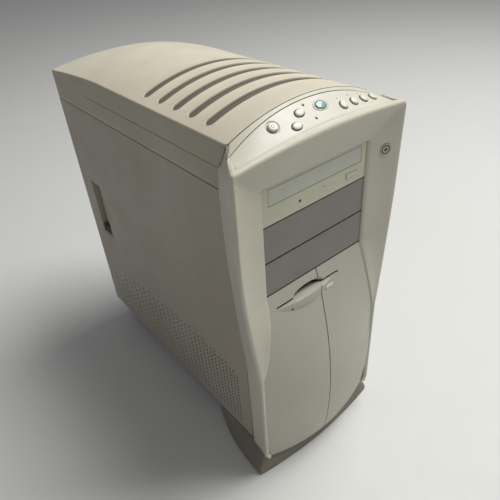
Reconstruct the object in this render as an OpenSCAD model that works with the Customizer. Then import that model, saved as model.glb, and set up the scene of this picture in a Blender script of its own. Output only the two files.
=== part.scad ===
// Desktop computer tower: arched top cover, dished front bezel, drive bays, and the working parts inside.
// The front faces -Y, +X is to the right seen from the front, and the tower stands on z = 0.

/* [Overall] */
// Height from the floor to the crest of the top cover
total_h = 480; // [400:1:580]
// Depth from the fascia's bulge to the back of the top cover
depth = 446; // [420:1:540]
// Width across the two side panels
body_w = 180; // [176:1:216]
// Height of the foot under the side panels
base_h = 36; // [30:1:44]
/* [Front bezel] */
// Width of the bezel beside the drive bays
bezel_w = 224; // [212:1:270]
// Width of the bezel beside the lower fascia
waist_w = 193; // [186:1:210]
// How far the bezel's rim stands in front of the drives
rim_reach = 13; // [10:1:16]
// How far the lower fascia bulges in front of the drives
bulge = 29.6; // [22:0.2:34]
// Wall of the moulded shells
shell_t = 2.5; // [2:0.1:3.5]
/* [Drive bays] */
// Width of the bay opening
bay_w = 146; // [146:0.5:150]
// Height of one bay
bay_pitch = 42.4; // [42:0.1:44]
// Travel of the disc tray
tray_travel = 130; // [100:1:140]
// Width of the disc tray's front
tray_w = 128; // [124:1:132]
// Left to right place of the floppy drive's middle
floppy_x = -16.5; // [-18:0.5:0]
/* [Top cover] */
// Radius of the cover's arch
crown_r = 215; // [190:1:260]
// Height of the cover above the side panels
cover_h = 70; // [64:1:78]
// Number of grooves across the cover
groove_count = 5; // [1:1:6]
// Width of a groove
groove_w = 11.6; // [8:0.2:14]
// Distance from one groove to the next
groove_pitch = 27.8; // [20:0.2:32]
// Depth of a groove
groove_depth = 1.6; // [1:0.1:2]
/* [Sheet metal] */
// Thickness of the chassis sheets
sheet_t = 1.2; // [0.8:0.1:1.6]
// Space between the chassis and the outside of a side panel
panel_gap = 4; // [3:0.5:5]
// Radius of a vent hole in a side panel
vent_r = 1.5; // [1:0.1:2]
/* [Controls] */
// Radius of the power button
power_r = 4.6; // [4:0.1:5.5]
// Radius of a media button
media_r = 4.1; // [3.5:0.1:5]
// How far a button stands proud of the control plate
button_proud = 1.9; // [1.2:0.1:3]
// Gap round each moving button
button_gap = 0.3; // [0.2:0.05:0.5]
// Thickness of the control plate
plate_t = 2.4; // [2:0.1:3]
/* [Fans] */
// Size of the rear fan and the supply's fan
fan_size = 80; // [70:1:80]
// Size of the processor's fan
cpu_fan_size = 60; // [50:1:70]

/* [Hidden] */
$fn = 48;

slack = 0.3;
side_x = body_w / 2;
rear_y = depth / 2;
bay_y = -depth / 2 + bulge;
rim_y = bay_y - rim_reach;
panel_z0 = base_h;
panel_z1 = total_h - cover_h;
bay_top = total_h - 62;
fascia_top = bay_top - 3 * bay_pitch;
bay_hw = bay_w / 2;
hi_hw = bezel_w / 2;
lo_hw = waist_w / 2;
wing_z = total_h - 296;
full_z = total_h - 123;
rim_z = total_h - 30;
deck_front_y = bay_y - 9;
deck_back_y = bay_y + 19;
side_back_y = bay_y + 36;
arris_x = side_x - 0.7;
cx = side_x - panel_gap;
cz0 = base_h;
cz1 = bay_top + 4;
cy0 = bay_y + 26;
cy1 = rear_y - 8;
in_z0 = cz0 + sheet_t;
in_z1 = cz1 - sheet_t;

// ---- shared shapes ----
module span(x0, x1, y0, y1, z0, z1) translate([x0, y0, z0]) cube([x1 - x0, y1 - y0, z1 - z0]);

// A flat outline in X and Z, made a slab of thickness t that starts at y.
module slab(y, t, outline) translate([0, y + t, 0]) rotate([90, 0, 0]) linear_extrude(t) polygon(outline);

// A cylinder along +Y and one along +X.
module along_y(x, y, z, r, h) translate([x, y, z]) rotate([-90, 0, 0]) cylinder(r = r, h = h);
module along_x(x, y, z, r, h) translate([x, y, z]) rotate([0, 90, 0]) cylinder(r = r, h = h);

function mirrored(side) = concat(side, [for (i = [len(side) - 1:-1:0]) [-side[i][0], side[i][1]]]);
function smooth(t) = let (c = min(1, max(0, t))) c * c * (3 - 2 * c);

// A closed solid between two grids of points that run along X first.
module skin(outer, inner, nu, nv) {
  n = (nu + 1) * (nv + 1);
  function at(i, j) = j * (nu + 1) + i;
  polyhedron(points = concat(outer, inner), faces = concat(
    [for (j = [0:nv - 1], i = [0:nu - 1]) [at(i, j), at(i, j + 1), at(i + 1, j + 1)]],
    [for (j = [0:nv - 1], i = [0:nu - 1]) [at(i, j), at(i + 1, j + 1), at(i + 1, j)]],
    [for (j = [0:nv - 1], i = [0:nu - 1]) [n + at(i, j), n + at(i + 1, j + 1), n + at(i, j + 1)]],
    [for (j = [0:nv - 1], i = [0:nu - 1]) [n + at(i, j), n + at(i + 1, j), n + at(i + 1, j + 1)]],
    [for (i = [0:nu - 1]) [at(i, 0), at(i + 1, 0), n + at(i + 1, 0)]],
    [for (i = [0:nu - 1]) [at(i, 0), n + at(i + 1, 0), n + at(i, 0)]],
    [for (i = [0:nu - 1]) [at(i + 1, nv), at(i, nv), n + at(i, nv)]],
    [for (i = [0:nu - 1]) [at(i + 1, nv), n + at(i, nv), n + at(i + 1, nv)]],
    [for (j = [0:nv - 1]) [at(0, j), n + at(0, j), n + at(0, j + 1)]],
    [for (j = [0:nv - 1]) [at(0, j), n + at(0, j + 1), at(0, j + 1)]],
    [for (j = [0:nv - 1]) [at(nu, j), at(nu, j + 1), n + at(nu, j + 1)]],
    [for (j = [0:nv - 1]) [at(nu, j), n + at(nu, j + 1), n + at(nu, j)]]));
}

// ---- the arch, the deck in front of it and the bezel's outline ----
function arch_z(x) = total_h - crown_r + sqrt(crown_r * crown_r - x * x);
function deck_front_z(x) = total_h - 21.2 - x * x / 1400;
function deck_z(x, y) = let (s = (y - deck_front_y) / (deck_back_y - deck_front_y))
  (1 - s) * deck_front_z(x) + s * arch_z(x);
function deck_slope_x(x, y) = deck_z(x + 0.5, y) - deck_z(x - 0.5, y);
function deck_slope_y(x, y) = deck_z(x, y + 0.5) - deck_z(x, y - 0.5);

// Puts children on the deck with +Z along the deck's own normal.
module on_deck(x, y) {
  gx = -deck_slope_x(x, bay_y + y);
  gy = -deck_slope_y(x, bay_y + y);
  translate([x, bay_y + y, deck_z(x, bay_y + y)])
    rotate([0, 0, atan2(gy, gx)]) rotate([0, atan(sqrt(gx * gx + gy * gy)), 0])
      rotate([0, 0, -atan2(gy, gx)]) children();
}

// Half width of the bezel's rim at height z: full beside the bays, narrow beside the fascia.
function rim_hw(z) = z <= wing_z ? lo_hw
  : hi_hw - (hi_hw - lo_hw) * pow(max(0, 1 - (z - wing_z) / (full_z - wing_z)), 1.5);
// Half width of the lower fascia at height z.
function fascia_hw(z) = z <= wing_z ? lo_hw - 2.4
  : bay_hw + (lo_hw - 2.4 - bay_hw) * pow((fascia_top - z) / (fascia_top - wing_z), 1.5);
// Depth of the fascia's face: an arc from top to bottom and a crown from side to side.
bulge_z = total_h * 0.233;
function fascia_y(x, z) = bay_y - bulge + bulge * pow((z - bulge_z) / (fascia_top - bulge_z), 2)
  + (bulge - rim_reach) * smooth((fascia_top - z) / 150) * pow(x / lo_hw, 2);

// ---- moulded outside ----
tail_y = rear_y - 150;
function crest_z(t) = total_h - 23.5 * pow(t, 1.7);
function edge_z(t) = arch_z(arris_x) - 12 * pow(t, 1.5);
function arch_outline(hw, z0, ze, zc) = let (rise = zc - ze, r = (hw * hw + rise * rise) / (2 * rise),
  half = asin(hw / r)) concat([[-hw, z0]],
  [for (i = [0:16]) let (a = -half + i * half / 8) [r * sin(a), zc - r + r * cos(a)]], [[hw, z0]]);

// The cover is a shell: 4 rows up each wall and 24 steps over the arch, front to back in 7 rows.
cover_nu = 32;
cover_nv = 7;
front_edge = [[side_back_y + 1.3, panel_z1 + slack], [side_back_y - 1.2, panel_z1 + 24],
  [(side_back_y + deck_back_y) / 2, (panel_z1 + 24 + arch_z(arris_x)) / 2],
  [deck_back_y + 2.6, arch_z(arris_x) - 3]];
function cover_row(j, w) = let (t = max(0, (j - 1) / (cover_nv - 1)),
  ze = edge_z(t) - w * 0.7, zc = crest_z(t) - w,
  hw = arris_x - w, rise = zc - ze, r = (hw * hw + rise * rise) / (2 * rise), half = asin(hw / r),
  y = tail_y + t * (rear_y - tail_y))
  concat([for (k = [0:3]) wall_point(-1, k, j, y, ze, w)],
    [for (i = [0:24]) let (a = -half + i * half / 12)
      [r * sin(a), j == 0 ? deck_back_y + 0.7 : y, zc - r + r * cos(a)]],
    [for (k = [3:-1:0]) wall_point(1, k, j, y, ze, w)]);
function wall_point(s, k, j, y, ze, w) = [s * (side_x - w), j == 0 ? front_edge[k][0] : y,
  j == 0 ? front_edge[k][1] : front_edge[k][1] + (k == 0 ? 0 : ze - arch_z(arris_x))];
function cover_grid(w) = [for (j = [0:cover_nv]) each cover_row(j, w)];

groove_end = arris_x - 8.5 - groove_w / 2;
module top_cover() color([0.80, 0.77, 0.69]) difference() {
  union() {
    skin(cover_grid(0), cover_grid(shell_t), cover_nu, cover_nv);
    slab(rear_y - shell_t, shell_t,
      arch_outline(side_x - shell_t * 0.5, cz1 + 2, edge_z(1) - shell_t * 0.6, crest_z(1) - shell_t * 0.5));
  }
  for (i = [0:groove_count - 1]) difference() {
    translate([0, bay_y + 61.4 + i * groove_pitch, total_h - 40]) {
      for (s = [-1, 1]) translate([s * groove_end, 0, 0]) cylinder(r = groove_w / 2, h = 60);
      translate([-groove_end, -groove_w / 2, 0]) cube([2 * groove_end, groove_w, 60]);
    }
    along_y(0, bay_y, total_h - crown_r, crown_r - groove_depth, 300);
  }
}

// Front edge of a side panel, behind the drives' front: the bezel's rear edge follows it.
panel_edge = [[36.8, panel_z1], [36.2, total_h - 110], [31.5, total_h - 200], [24, total_h - 268],
  [22, total_h - 300], [21.6, total_h - 360], [24, panel_z0 + 0.5]];
edge_gap = 0.9;
rim_zs = [0, 0.2, 0.4, 0.6, 0.8, 1];
// The bezel above its waist and below it, each drawn in by wall w.
module bezel_high(w) hull() {
  slab(rim_y + w * 2, 0.5, mirrored(concat(
    [for (t = rim_zs) let (z = wing_z + t * (full_z - wing_z)) [rim_hw(z) - w, z]],
    [[hi_hw - 0.5 - w, rim_z - w], [hi_hw * 0.66, rim_z + 3.4 - w], [hi_hw * 0.33, rim_z + 5.4 - w]])));
  slab(deck_front_y, 0.3, mirrored([for (x = [hi_hw - 6, 84, 56, 28])
    [x - w, deck_front_z(x) - w - 0.2]]));
  slab(deck_back_y - 1.1 + w, 0.2,
    arch_outline(arris_x - w, panel_z1, arch_z(arris_x) - w, total_h - w));
  slab(side_back_y - 2.4 + w, 0.2, mirrored([[side_x - w, panel_z1], [side_x - w, panel_z1 + 23.4]]));
  for (p = panel_edge) if (p[1] > wing_z)
    slab(bay_y + p[0] - edge_gap - 0.2 + w, 0.2, mirrored([[side_x - w, p[1] - 0.5], [side_x - w, p[1]]]));
  slab(bay_y + panel_edge[4][0] - edge_gap - 0.4 + w, 0.2,
    mirrored([[side_x - w, wing_z], [side_x - w, wing_z + 1]]));
}
module bezel_low(w) hull() {
  slab(rim_y + w * 2, 0.5, mirrored([[lo_hw - w, base_h + 6], [lo_hw - w, wing_z + 0.1]]));
  slab(bay_y + 19.8 + w, 0.2, mirrored([[side_x - w, base_h + 1], [side_x - w, wing_z + 0.1]]));
}
// The dish from the rim back to the drives, drawn out by wall w.
module bezel_dish(w) hull() {
  slab(rim_y - 1 + w, 1.1, mirrored([[lo_hw + 2 + w, wing_z + 6 - w], [rim_hw(full_z) - 2.5 + w, full_z],
    [hi_hw - 3 + w, rim_z - 2 + w]]));
  slab(bay_y - 0.1 + w, 0.1, mirrored([[bay_hw + slack + w, fascia_top - 20 - w],
    [bay_hw + slack + w, bay_top + slack + w]]));
}

module front_bezel() color([0.86, 0.85, 0.79]) difference() {
  union() {
    bezel_high(0);
    bezel_low(0);
  }
  difference() {
    union() {
      bezel_high(shell_t);
      bezel_low(shell_t);
    }
    bezel_dish(shell_t);
    span(-hi_hw, hi_hw, rim_y, bay_y + shell_t, fascia_top - 20, bay_top + shell_t + 2);
  }
  bezel_dish(0);
  // the bays, and the opening that the lower fascia closes
  span(-bay_hw - slack, bay_hw + slack, rim_y - 1, bay_y + 40, fascia_top - slack, bay_top + slack);
  slab(rim_y - 20, 38, mirrored([for (t = [0.3:0.1:1]) let (z = wing_z + t * (fascia_top - wing_z))
    [fascia_hw(z) + slack, z]]));
  slab(rim_y - 20, 25.6, mirrored(concat([[lo_hw - 2.1, base_h - 20]],
    [for (t = [0:0.1:0.4]) let (z = wing_z + t * (fascia_top - wing_z)) [fascia_hw(z) + slack, z]])));
  // the deck's own face, the seat of the control plate, and the space for the switches under it
  skin(deck_grid(-40), deck_grid(0), 20, 3);
  skin(plate_grid(-3, -0.3), plate_grid(plate_t + 0.05, -0.3), plate_nu, plate_nv);
  translate([0, 0, total_h - 42]) linear_extrude(50) polygon(concat(
    [for (i = [0:12]) let (x = (i / 6 - 1) * (hi_hw - 11)) [x, deck_front_y + 3]],
    [for (i = [12:-1:0]) let (x = (i / 6 - 1) * (hi_hw - 17)) [x, plate_back_y(x) - 2.5]]));
  span(-side_x + 4, side_x - 4, bay_y + shell_t, bay_y + 60, wing_z - 2, bay_top + 14);
}
function deck_grid(sink) = [for (j = [0:3], i = [0:20])
  let (x = (i / 10 - 1) * (hi_hw + 2), y = deck_front_y - 0.1 + j * (deck_back_y + 0.5 - deck_front_y) / 3)
  [x, y, deck_z(x, y) - sink]];

fascia_nu = 20;
fascia_nv = 16;
fascia_z0 = base_h - 10;
// The fascia draws in where its face turns back towards the foot.
function foot_draw(z) = 2.6 * smooth((base_h + 54 - z) / 40);
function fascia_grid(back) = [for (j = [0:fascia_nv], i = [0:fascia_nu])
  let (z = fascia_z0 + (fascia_top - slack - fascia_z0) * j / fascia_nv,
    x = (2 * i / fascia_nu - 1) * (fascia_hw(z) - foot_draw(z) - (j == 0 ? 2 : 0) - (back > 0 ? 0.6 : 0)))
  [x, fascia_y(x, z) + back, z]];

floppy_z0 = fascia_top - 32;
floppy_z1 = floppy_z0 + 25.4;
floppy_y = bay_y + 8;
slot_z = floppy_z0 + 14;

module lower_fascia() color([0.83, 0.82, 0.76]) difference() {
  skin(fascia_grid(0), fascia_grid(shell_t), fascia_nu, fascia_nv);
  // the split line down the middle
  difference() {
    span(-0.5, 0.5, rim_y - 30, bay_y + 1, fascia_z0 + 6, fascia_top - 6);
    skin([for (p = fascia_grid(0)) [p[0], p[1] + 1.1, p[2]]],
      [for (p = fascia_grid(0)) [p[0], p[1] + 60, p[2]]], fascia_nu, fascia_nv);
  }
  // the slot for a disk, its button and its light
  span(floppy_x - 46.5, floppy_x + 46.5, rim_y - 20, bay_y + 20, slot_z - 2.6, slot_z + 3.4);
  span(floppy_x + 23.8 - slack, floppy_x + 35.2 + slack, rim_y - 20, bay_y + 20,
    floppy_z0 + 1 - slack, floppy_z0 + 6 + slack);
  along_y(floppy_x - 27.5, rim_y - 20, floppy_z0 + 3.4, 1.5, 60);
  // the face is made in four sections that meet in hairline joints at the slot's corners
  for (z = [slot_z - 2.6, slot_z + 3.4]) span(-lo_hw, lo_hw, rim_y - 30, bay_y + 20, z - 0.01, z + 0.01);
}

// ---- control plate and its buttons ----
plate_nu = 24;
plate_nv = 3;
function plate_back_y(x) = deck_back_y - 3.2 - 8.5 * pow(abs(x) / 104, 3);
function plate_grid(sink, trim) = [for (j = [0:plate_nv], i = [0:plate_nu])
  let (x = (2 * i / plate_nu - 1) * (hi_hw - 7.8 - trim - 5.5 * j / plate_nv),
    y0 = deck_front_y + 0.4 + trim, y = y0 + (plate_back_y(x) - trim - y0) * j / plate_nv)
  [x, y, deck_z(x, y) - sink]];

// Place of each control: left to right, and behind the drives' front.
power_at = [-49.3, 7];
email_at = [-17.5, 7];
search_at = [-28.4, -1.3];
internet_at = [8.8, 6.6];
light_at = [[-8.6, 11.6], [-4.7, -1.6]];
media_at = [[33.7, 1], [49.4, 2], [64.6, 3], [79.6, 4.4]];

// A long button: two round ends with straight sides between them.
module oval(r, stretch, z, h) {
  for (s = [-1, 1]) translate([s * stretch, 0, z]) cylinder(r = r, h = h);
  translate([-stretch, -r, z]) cube([2 * stretch, 2 * r, h]);
}

module control_plate() color([0.91, 0.90, 0.86]) difference() {
  skin(plate_grid(0, 0), plate_grid(plate_t, 0), plate_nu, plate_nv);
  on_deck(power_at[0], power_at[1]) translate([0, 0, -9]) cylinder(r = power_r + button_gap, h = 14);
  on_deck(power_at[0], power_at[1]) translate([0, 0, -0.7]) cylinder(r = power_r + 1.5, h = 5);
  for (p = [email_at, search_at]) on_deck(p[0], p[1]) oval(3.6 + button_gap, 1.8, -9, 14);
  on_deck(internet_at[0], internet_at[1]) oval(4.4 + button_gap, 3.4, -9, 14);
  for (p = media_at) on_deck(p[0], p[1]) translate([0, 0, -9]) cylinder(r = media_r + button_gap, h = 14);
  for (p = light_at) on_deck(p[0], p[1]) translate([0, 0, -9]) cylinder(r = 1.5, h = 14);
}
module round_button(at, r) on_deck(at[0], at[1]) {
  translate([0, 0, -plate_t - 0.6]) cylinder(r = r, h = plate_t + 0.6 + button_proud);
  translate([0, 0, -plate_t - 1.4]) cylinder(r = r + 1, h = 0.9);
}
module oval_button(at, r, stretch) on_deck(at[0], at[1]) {
  oval(r, stretch, -plate_t - 0.6, plate_t + 0.6 + button_proud);
  oval(r + 1, stretch, -plate_t - 1.4, 0.9);
}
module power_button() color([0.93, 0.92, 0.88]) round_button(power_at, power_r);
module email_button() color([0.93, 0.92, 0.88]) oval_button(email_at, 3.6, 1.8);
module search_button() color([0.93, 0.92, 0.88]) oval_button(search_at, 3.6, 1.8);
module internet_button() color([0.55, 0.72, 0.72]) oval_button(internet_at, 4.4, 3.4);
module media_button(i) color([0.93, 0.92, 0.88]) round_button(media_at[i], media_r);
module play_button() media_button(0);
module stop_button() media_button(1);
module back_button() media_button(2);
module forward_button() media_button(3);
module status_lights() color([0.15, 0.2, 0.15]) for (p = light_at) on_deck(p[0], p[1])
  translate([0, 0, 0.8 - plate_t]) cylinder(r = 1.4, h = plate_t - 0.7);
module switch_sheet() color([0.2, 0.4, 0.25])
  skin(plate_grid(plate_t + 5.2, 9), plate_grid(plate_t + 6.4, 9), plate_nu, plate_nv);
cheek_slope = rim_reach / (hi_hw - 2.7 - bay_hw);
module case_badge() color([0.2, 0.22, 0.25])
  translate([hi_hw - 18, bay_y - 0.05 - (hi_hw - 18 - bay_hw - slack) * cheek_slope, total_h - 78])
    rotate([90, 0, -atan(cheek_slope)]) cylinder(r = 6.5, h = 0.8);

// ---- side panels ----
grip_y = rear_y - 50;
grip_z = total_h - 235;
grip_w = 30;
grip_h = 92;
// Vent holes: staggered columns that open out towards the rear, under a low arched line.
vent_cols = 29;
vent_first = 7;
vent_growth = 1.038;
function vent_top(y) = panel_z0 + 117 - pow(y - bay_y - 150, 2) / 1470;
function vent_rows() = [for (j = [0:vent_cols - 1], k = [0:16]) let (pitch = 6.2 + 3.3 * j / vent_cols,
  y = bay_y + 46 + vent_first * (pow(vent_growth, j) - 1) / (vent_growth - 1),
  z = panel_z0 + 17 + (k + (j % 2) / 2) * pitch)
  if (y < rear_y - 20 && z < vent_top(y)) [y, z]];

module side_panel(grip) difference() {
  union() {
    translate([-side_x, 0, 0]) rotate([90, 0, 90]) linear_extrude(sheet_t) polygon(concat(
      [for (p = panel_edge) [bay_y + p[0], p[1] - (p[1] == panel_z1 ? slack : 0)]],
      [[rear_y - 1, panel_z0 + 0.5], [rear_y - 1, panel_z1 - slack]]));
    span(-side_x, -side_x + 11.5, cy1 + 0.2, cy1 + 0.2 + sheet_t, panel_z0 + 4, panel_z1 - 4);
    span(-side_x, -cx - 0.4, bay_y + 50, cy1 - 20, panel_z0 + 2, panel_z0 + 2 + sheet_t);
    span(-side_x, -cx - 0.4, bay_y + 50, cy1 - 20, panel_z1 - 4, panel_z1 - 4 + sheet_t);
    if (grip) span(-side_x, -side_x + 9, grip_y - grip_w / 2 - 2, grip_y + grip_w / 2 + 2,
      grip_z - grip_h / 2 - 2, grip_z + grip_h / 2 + 2);
  }
  if (grip) hull() {
    span(-side_x - 1, -side_x + 0.1, grip_y - grip_w / 2, grip_y + grip_w / 2,
      grip_z - grip_h / 2, grip_z + grip_h / 2);
    span(-side_x + 7, -side_x + 7.5, grip_y + grip_w / 2 - 10, grip_y + grip_w / 2 - 1,
      grip_z - grip_h / 2 + 8, grip_z + grip_h / 2 - 8);
  }
  for (p = vent_rows()) along_x(-side_x - 1, p[0], p[1], vent_r, 4, $fn = 16);
  if (grip) for (z = screw_zs) along_y(-cx + 5, cy1 - 1, z, 2.1, 4);
}
screw_zs = [panel_z0 + 40, (panel_z0 + panel_z1) / 2, panel_z1 - 40];
module left_side_panel() color([0.72, 0.69, 0.62]) side_panel(true);
module right_side_panel() color([0.72, 0.69, 0.62]) mirror([1, 0, 0]) side_panel(false);
module panel_screws() color("silver") for (z = screw_zs) {
  along_y(-cx + 5, cy1 + 0.2 + sheet_t, z, 4.2, 3.6);
  along_y(-cx + 5, cy1 - 3, z, 1.95, 5);
}

// ---- foot ----
function foot_outline(hw, reach, back) = concat(
  [for (a = [180:10:360]) [hw * cos(a), bay_y + 6 + (6 + reach) * sin(a)]],
  [for (a = [0:15:90]) [hw - 34 + 34 * cos(a), bay_y + 40 + back * sin(a)]],
  [for (a = [90:15:180]) [-hw + 34 + 34 * cos(a), bay_y + 40 + back * sin(a)]]);
module pedestal() color([0.42, 0.40, 0.38]) difference() {
  union() {
    hull() {
      translate([0, 0, 3]) linear_extrude(0.5) polygon(foot_outline(side_x + 16, 10.6, 85));
      translate([0, 0, fascia_z0 - 1.5]) linear_extrude(0.5) polygon(foot_outline(side_x + 8, 4, 62));
    }
    span(-side_x + 18, side_x - 18, bay_y + 24, rear_y - 14, 3, base_h - 0.2);
    span(-side_x + 1, side_x - 1, bay_y + 26, bay_y + 96, 20, base_h - 0.2);
  }
  span(-side_x + 22, side_x - 22, bay_y + 30, rear_y - 46, -1, base_h - 6);
  span(-side_x + 30, side_x - 30, bay_y + 3, bay_y + 31, -1, base_h - 16);
  span(-38, 38, rear_y - 47, rear_y - 18, -1, base_h - 6);
}
module rubber_feet() color([0.1, 0.1, 0.1]) for (s = [-1, 1]) {
  translate([s * (side_x - 8), bay_y + 24, 0]) cylinder(r = 9, h = 2.9);
  translate([s * (side_x - 29), rear_y - 30, 0]) cylinder(r = 9, h = 2.9);
}

// ---- steel chassis ----
io_z0 = in_z1 - 261;
io_z1 = io_z0 + 159;
slot_n = 4;
function slot_centre(i) = io_z0 - 14 - i * 20.3;
psu_z1 = in_z1 - 2;
psu_z0 = psu_z1 - 86;
psu_y0 = cy1 - sheet_t - 140.2;
fan_z = (io_z0 + io_z1) / 2 - 4;
fan_x = -cx + 10 + fan_size / 2;

module chassis_floor() color("silver") {
  span(-cx, cx, cy0, cy1, cz0, in_z0);
  span(-cx, -cx + sheet_t, cy0 + sheet_t, cy1 - sheet_t, in_z0, in_z0 + 16);
}
module chassis_top() color("silver") {
  span(-cx, cx, cy0, cy1, in_z1, cz1);
  span(-cx, -cx + sheet_t, cy0 + sheet_t, cy1 - sheet_t, in_z1 - 16, in_z1);
}
module rear_panel() color("silver") difference() {
  span(-cx, cx, cy1 - sheet_t, cy1, in_z0, in_z1);
  span(-71, 71, cy1 - 5, cy1 + 5, psu_z0 + 4, psu_z1 - 4);
  span(cx - 51, cx - 6, cy1 - 5, cy1 + 5, io_z0, io_z1);
  for (i = [0:slot_n - 1])
    span(cx - 112, cx - 8, cy1 - 5, cy1 + 5, slot_centre(i) - 7, slot_centre(i) + 7);
  along_y(fan_x, cy1 - 5, fan_z, fan_size / 2 - 3, 10);
  for (z = screw_zs) along_y(-cx + 5, cy1 - 5, z, 2.1, 10);
}
module front_frame() color("silver") difference() {
  span(-cx, cx, cy0, cy0 + sheet_t, in_z0, in_z1);
  span(-bay_hw - 0.5, bay_hw + 0.5, cy0 - 5, cy0 + 5, fascia_top + 1, bay_top + 0.5);
  span(floppy_x - 51.4, floppy_x + 51.4, cy0 - 5, cy0 + 5, floppy_z0 - 0.5, floppy_z1 + 0.5);
  for (i = [-3:3], k = [0:5]) along_y(i * 14, cy0 - 5, base_h + 40 + k * 14, 3.5, 10);
}
module motherboard_tray() color("silver") span(cx - sheet_t, cx, cy0 + sheet_t, cy1 - sheet_t, in_z0, in_z1);
cage_y1 = cy0 + 152;
module drive_cage() color("silver") {
  for (s = [0, 1]) mirror([s, 0, 0])
    span(bay_hw + 0.8, bay_hw + 0.8 + sheet_t, cy0 + sheet_t, cage_y1, fascia_top, in_z1);
  span(-bay_hw - 2, bay_hw + 2, cy0 + sheet_t, cage_y1, fascia_top - sheet_t, fascia_top);
}
small_z0 = floppy_z0 - 36;
module small_drive_cage() color("silver") {
  for (s = [-1, 1]) span(floppy_x + s * 52 - sheet_t / 2, floppy_x + s * 52 + sheet_t / 2,
    cy0 + sheet_t, cage_y1 - 12, small_z0, fascia_top - sheet_t);
  span(floppy_x - 52, floppy_x + 52, cy0 + sheet_t, cage_y1 - 12, small_z0 - sheet_t, small_z0);
}

// ---- drives ----
drive_z1 = bay_top - 0.4;
drive_z0 = drive_z1 - 41.3;
tray_z0 = drive_z1 - 21.1;
tray_z1 = drive_z1 - 3.5;
module optical_drive_case() color("silver") {
  difference() {
    span(-bay_hw + slack, bay_hw - slack, bay_y + 5.2, bay_y + 195, drive_z0, drive_z1);
    span(-bay_hw + slack + 1, bay_hw - slack - 1, bay_y + 6.4, bay_y + 194, drive_z0 + 1, drive_z1 - 1);
    span(-tray_w / 2 - 0.5, tray_w / 2 + 0.5, bay_y, bay_y + 12, tray_z0 - 0.6, tray_z1 + 0.2);
    span(41.5, 59.5, bay_y, bay_y + 12, drive_z0 + 6, drive_z0 + 15);
  }
  span(-bay_hw + slack + 0.5, bay_hw - slack - 0.5, bay_y + 14, bay_y + 194.5, tray_z0 - 3.6, tray_z0 - 1.6);
  for (s = [-1, 1]) span(s * (tray_w / 2 + 2.5) - 2, s * (tray_w / 2 + 2.5) + 2,
    bay_y + 14, bay_y + 190, tray_z0 - 2, tray_z0 + 10);
}
module optical_drive_bezel() color([0.74, 0.74, 0.66]) difference() {
  span(-bay_hw + slack, bay_hw - slack, bay_y, bay_y + 5, drive_z0, drive_z1);
  span(-tray_w / 2 - slack, tray_w / 2 + slack, bay_y - 1, bay_y + 6, tray_z0 - slack, tray_z1 + slack);
  span(42 - slack, 59 + slack, bay_y - 1, bay_y + 6, drive_z0 + 7.5 - slack, drive_z0 + 13 + slack);
  along_y(-23.8, bay_y - 1, drive_z0 + 10, 1.8, 4);
  along_y(9.1, bay_y - 1, drive_z0 + 12.6, 0.7, 4);
}
module disc_tray() color([0.66, 0.68, 0.66]) difference() {
  union() {
    span(-tray_w / 2, tray_w / 2, bay_y, bay_y + 4.6, tray_z0, tray_z1);
    span(-tray_w / 2 + 2, tray_w / 2 - 2, bay_y + 4.6, bay_y + 172, tray_z0 + 1, tray_z0 + 13);
  }
  translate([0, bay_y + 72, tray_z0 + 6]) cylinder(r = 60.5, h = 20);
  translate([0, bay_y + 72, tray_z0 + 4]) cylinder(r = 41, h = 20);
  span(-16, 16, bay_y + 70, bay_y + 160, tray_z0 - 1, tray_z0 + 20);
}
module tray_eject_button() color([0.74, 0.74, 0.66])
  span(42, 59, bay_y - 0.8, bay_y + 8, drive_z0 + 7.5, drive_z0 + 13);
module bay_cover(i) color([0.55, 0.54, 0.53]) {
  z0 = bay_top - (i + 1) * bay_pitch;
  span(-bay_hw + slack, bay_hw - slack, bay_y + 0.3, bay_y + 3, z0 + 0.4, z0 + bay_pitch - 0.4);
  for (s = [-1, 1]) span(s * (bay_hw - 2.4) - 1, s * (bay_hw - 2.4) + 1, bay_y + 3, bay_y + 18,
    z0 + 12, z0 + bay_pitch - 12);
}
module upper_bay_cover() bay_cover(1);
module lower_bay_cover() bay_cover(2);

module floppy_drive_case() color("silver") {
  difference() {
    span(floppy_x - 50.8, floppy_x + 50.8, floppy_y, floppy_y + 146, floppy_z0, floppy_z1);
    span(floppy_x - 49.8, floppy_x + 49.8, floppy_y + 4.5, floppy_y + 145, floppy_z0 + 1, floppy_z1 - 1);
    span(floppy_x - 46, floppy_x + 46, floppy_y - 1, floppy_y + 12, slot_z - 2, slot_z + 9.4);
    span(floppy_x + 22, floppy_x + 37, floppy_y - 1, floppy_y + 12, floppy_z0 + 0.6, floppy_z0 + 7.2);
  }
  span(floppy_x - 50, floppy_x + 50, floppy_y + 14, floppy_y + 145.5, slot_z - 4.5, slot_z - 2.5);
}
module floppy_door() color([0.30, 0.29, 0.28]) {
  span(floppy_x - 45, floppy_x + 45, floppy_y + 1.2, floppy_y + 2.4, slot_z - 1.6, slot_z + 5.6);
  along_x(floppy_x - 45.6, floppy_y + 1.8, slot_z + 6.6, 1.2, 91.2);
}
module floppy_eject_button() color([0.80, 0.79, 0.72])
  span(floppy_x + 23.8, floppy_x + 35.2, bay_y - 9.5, floppy_y + 7, floppy_z0 + 1, floppy_z0 + 6);
module floppy_light() color([0.2, 0.45, 0.2])
  along_y(floppy_x - 27.5, bay_y - 7.8, floppy_z0 + 3.4, 1.4, floppy_y - 0.2 - bay_y + 7.8);
module hard_drive() color("silver") difference() {
  union() {
    span(floppy_x - 50.8, floppy_x + 50.8, cy0 + 4, cy0 + 151, small_z0 + 6, small_z0 + 30);
    span(floppy_x - 46, floppy_x + 46, cy0 + 6, cy0 + 149, small_z0 + 30, small_z0 + 32);
  }
  span(floppy_x - 46, floppy_x + 46, cy0 + 10, cy0 + 145, small_z0 + 12, small_z0 + 28);
}

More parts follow.
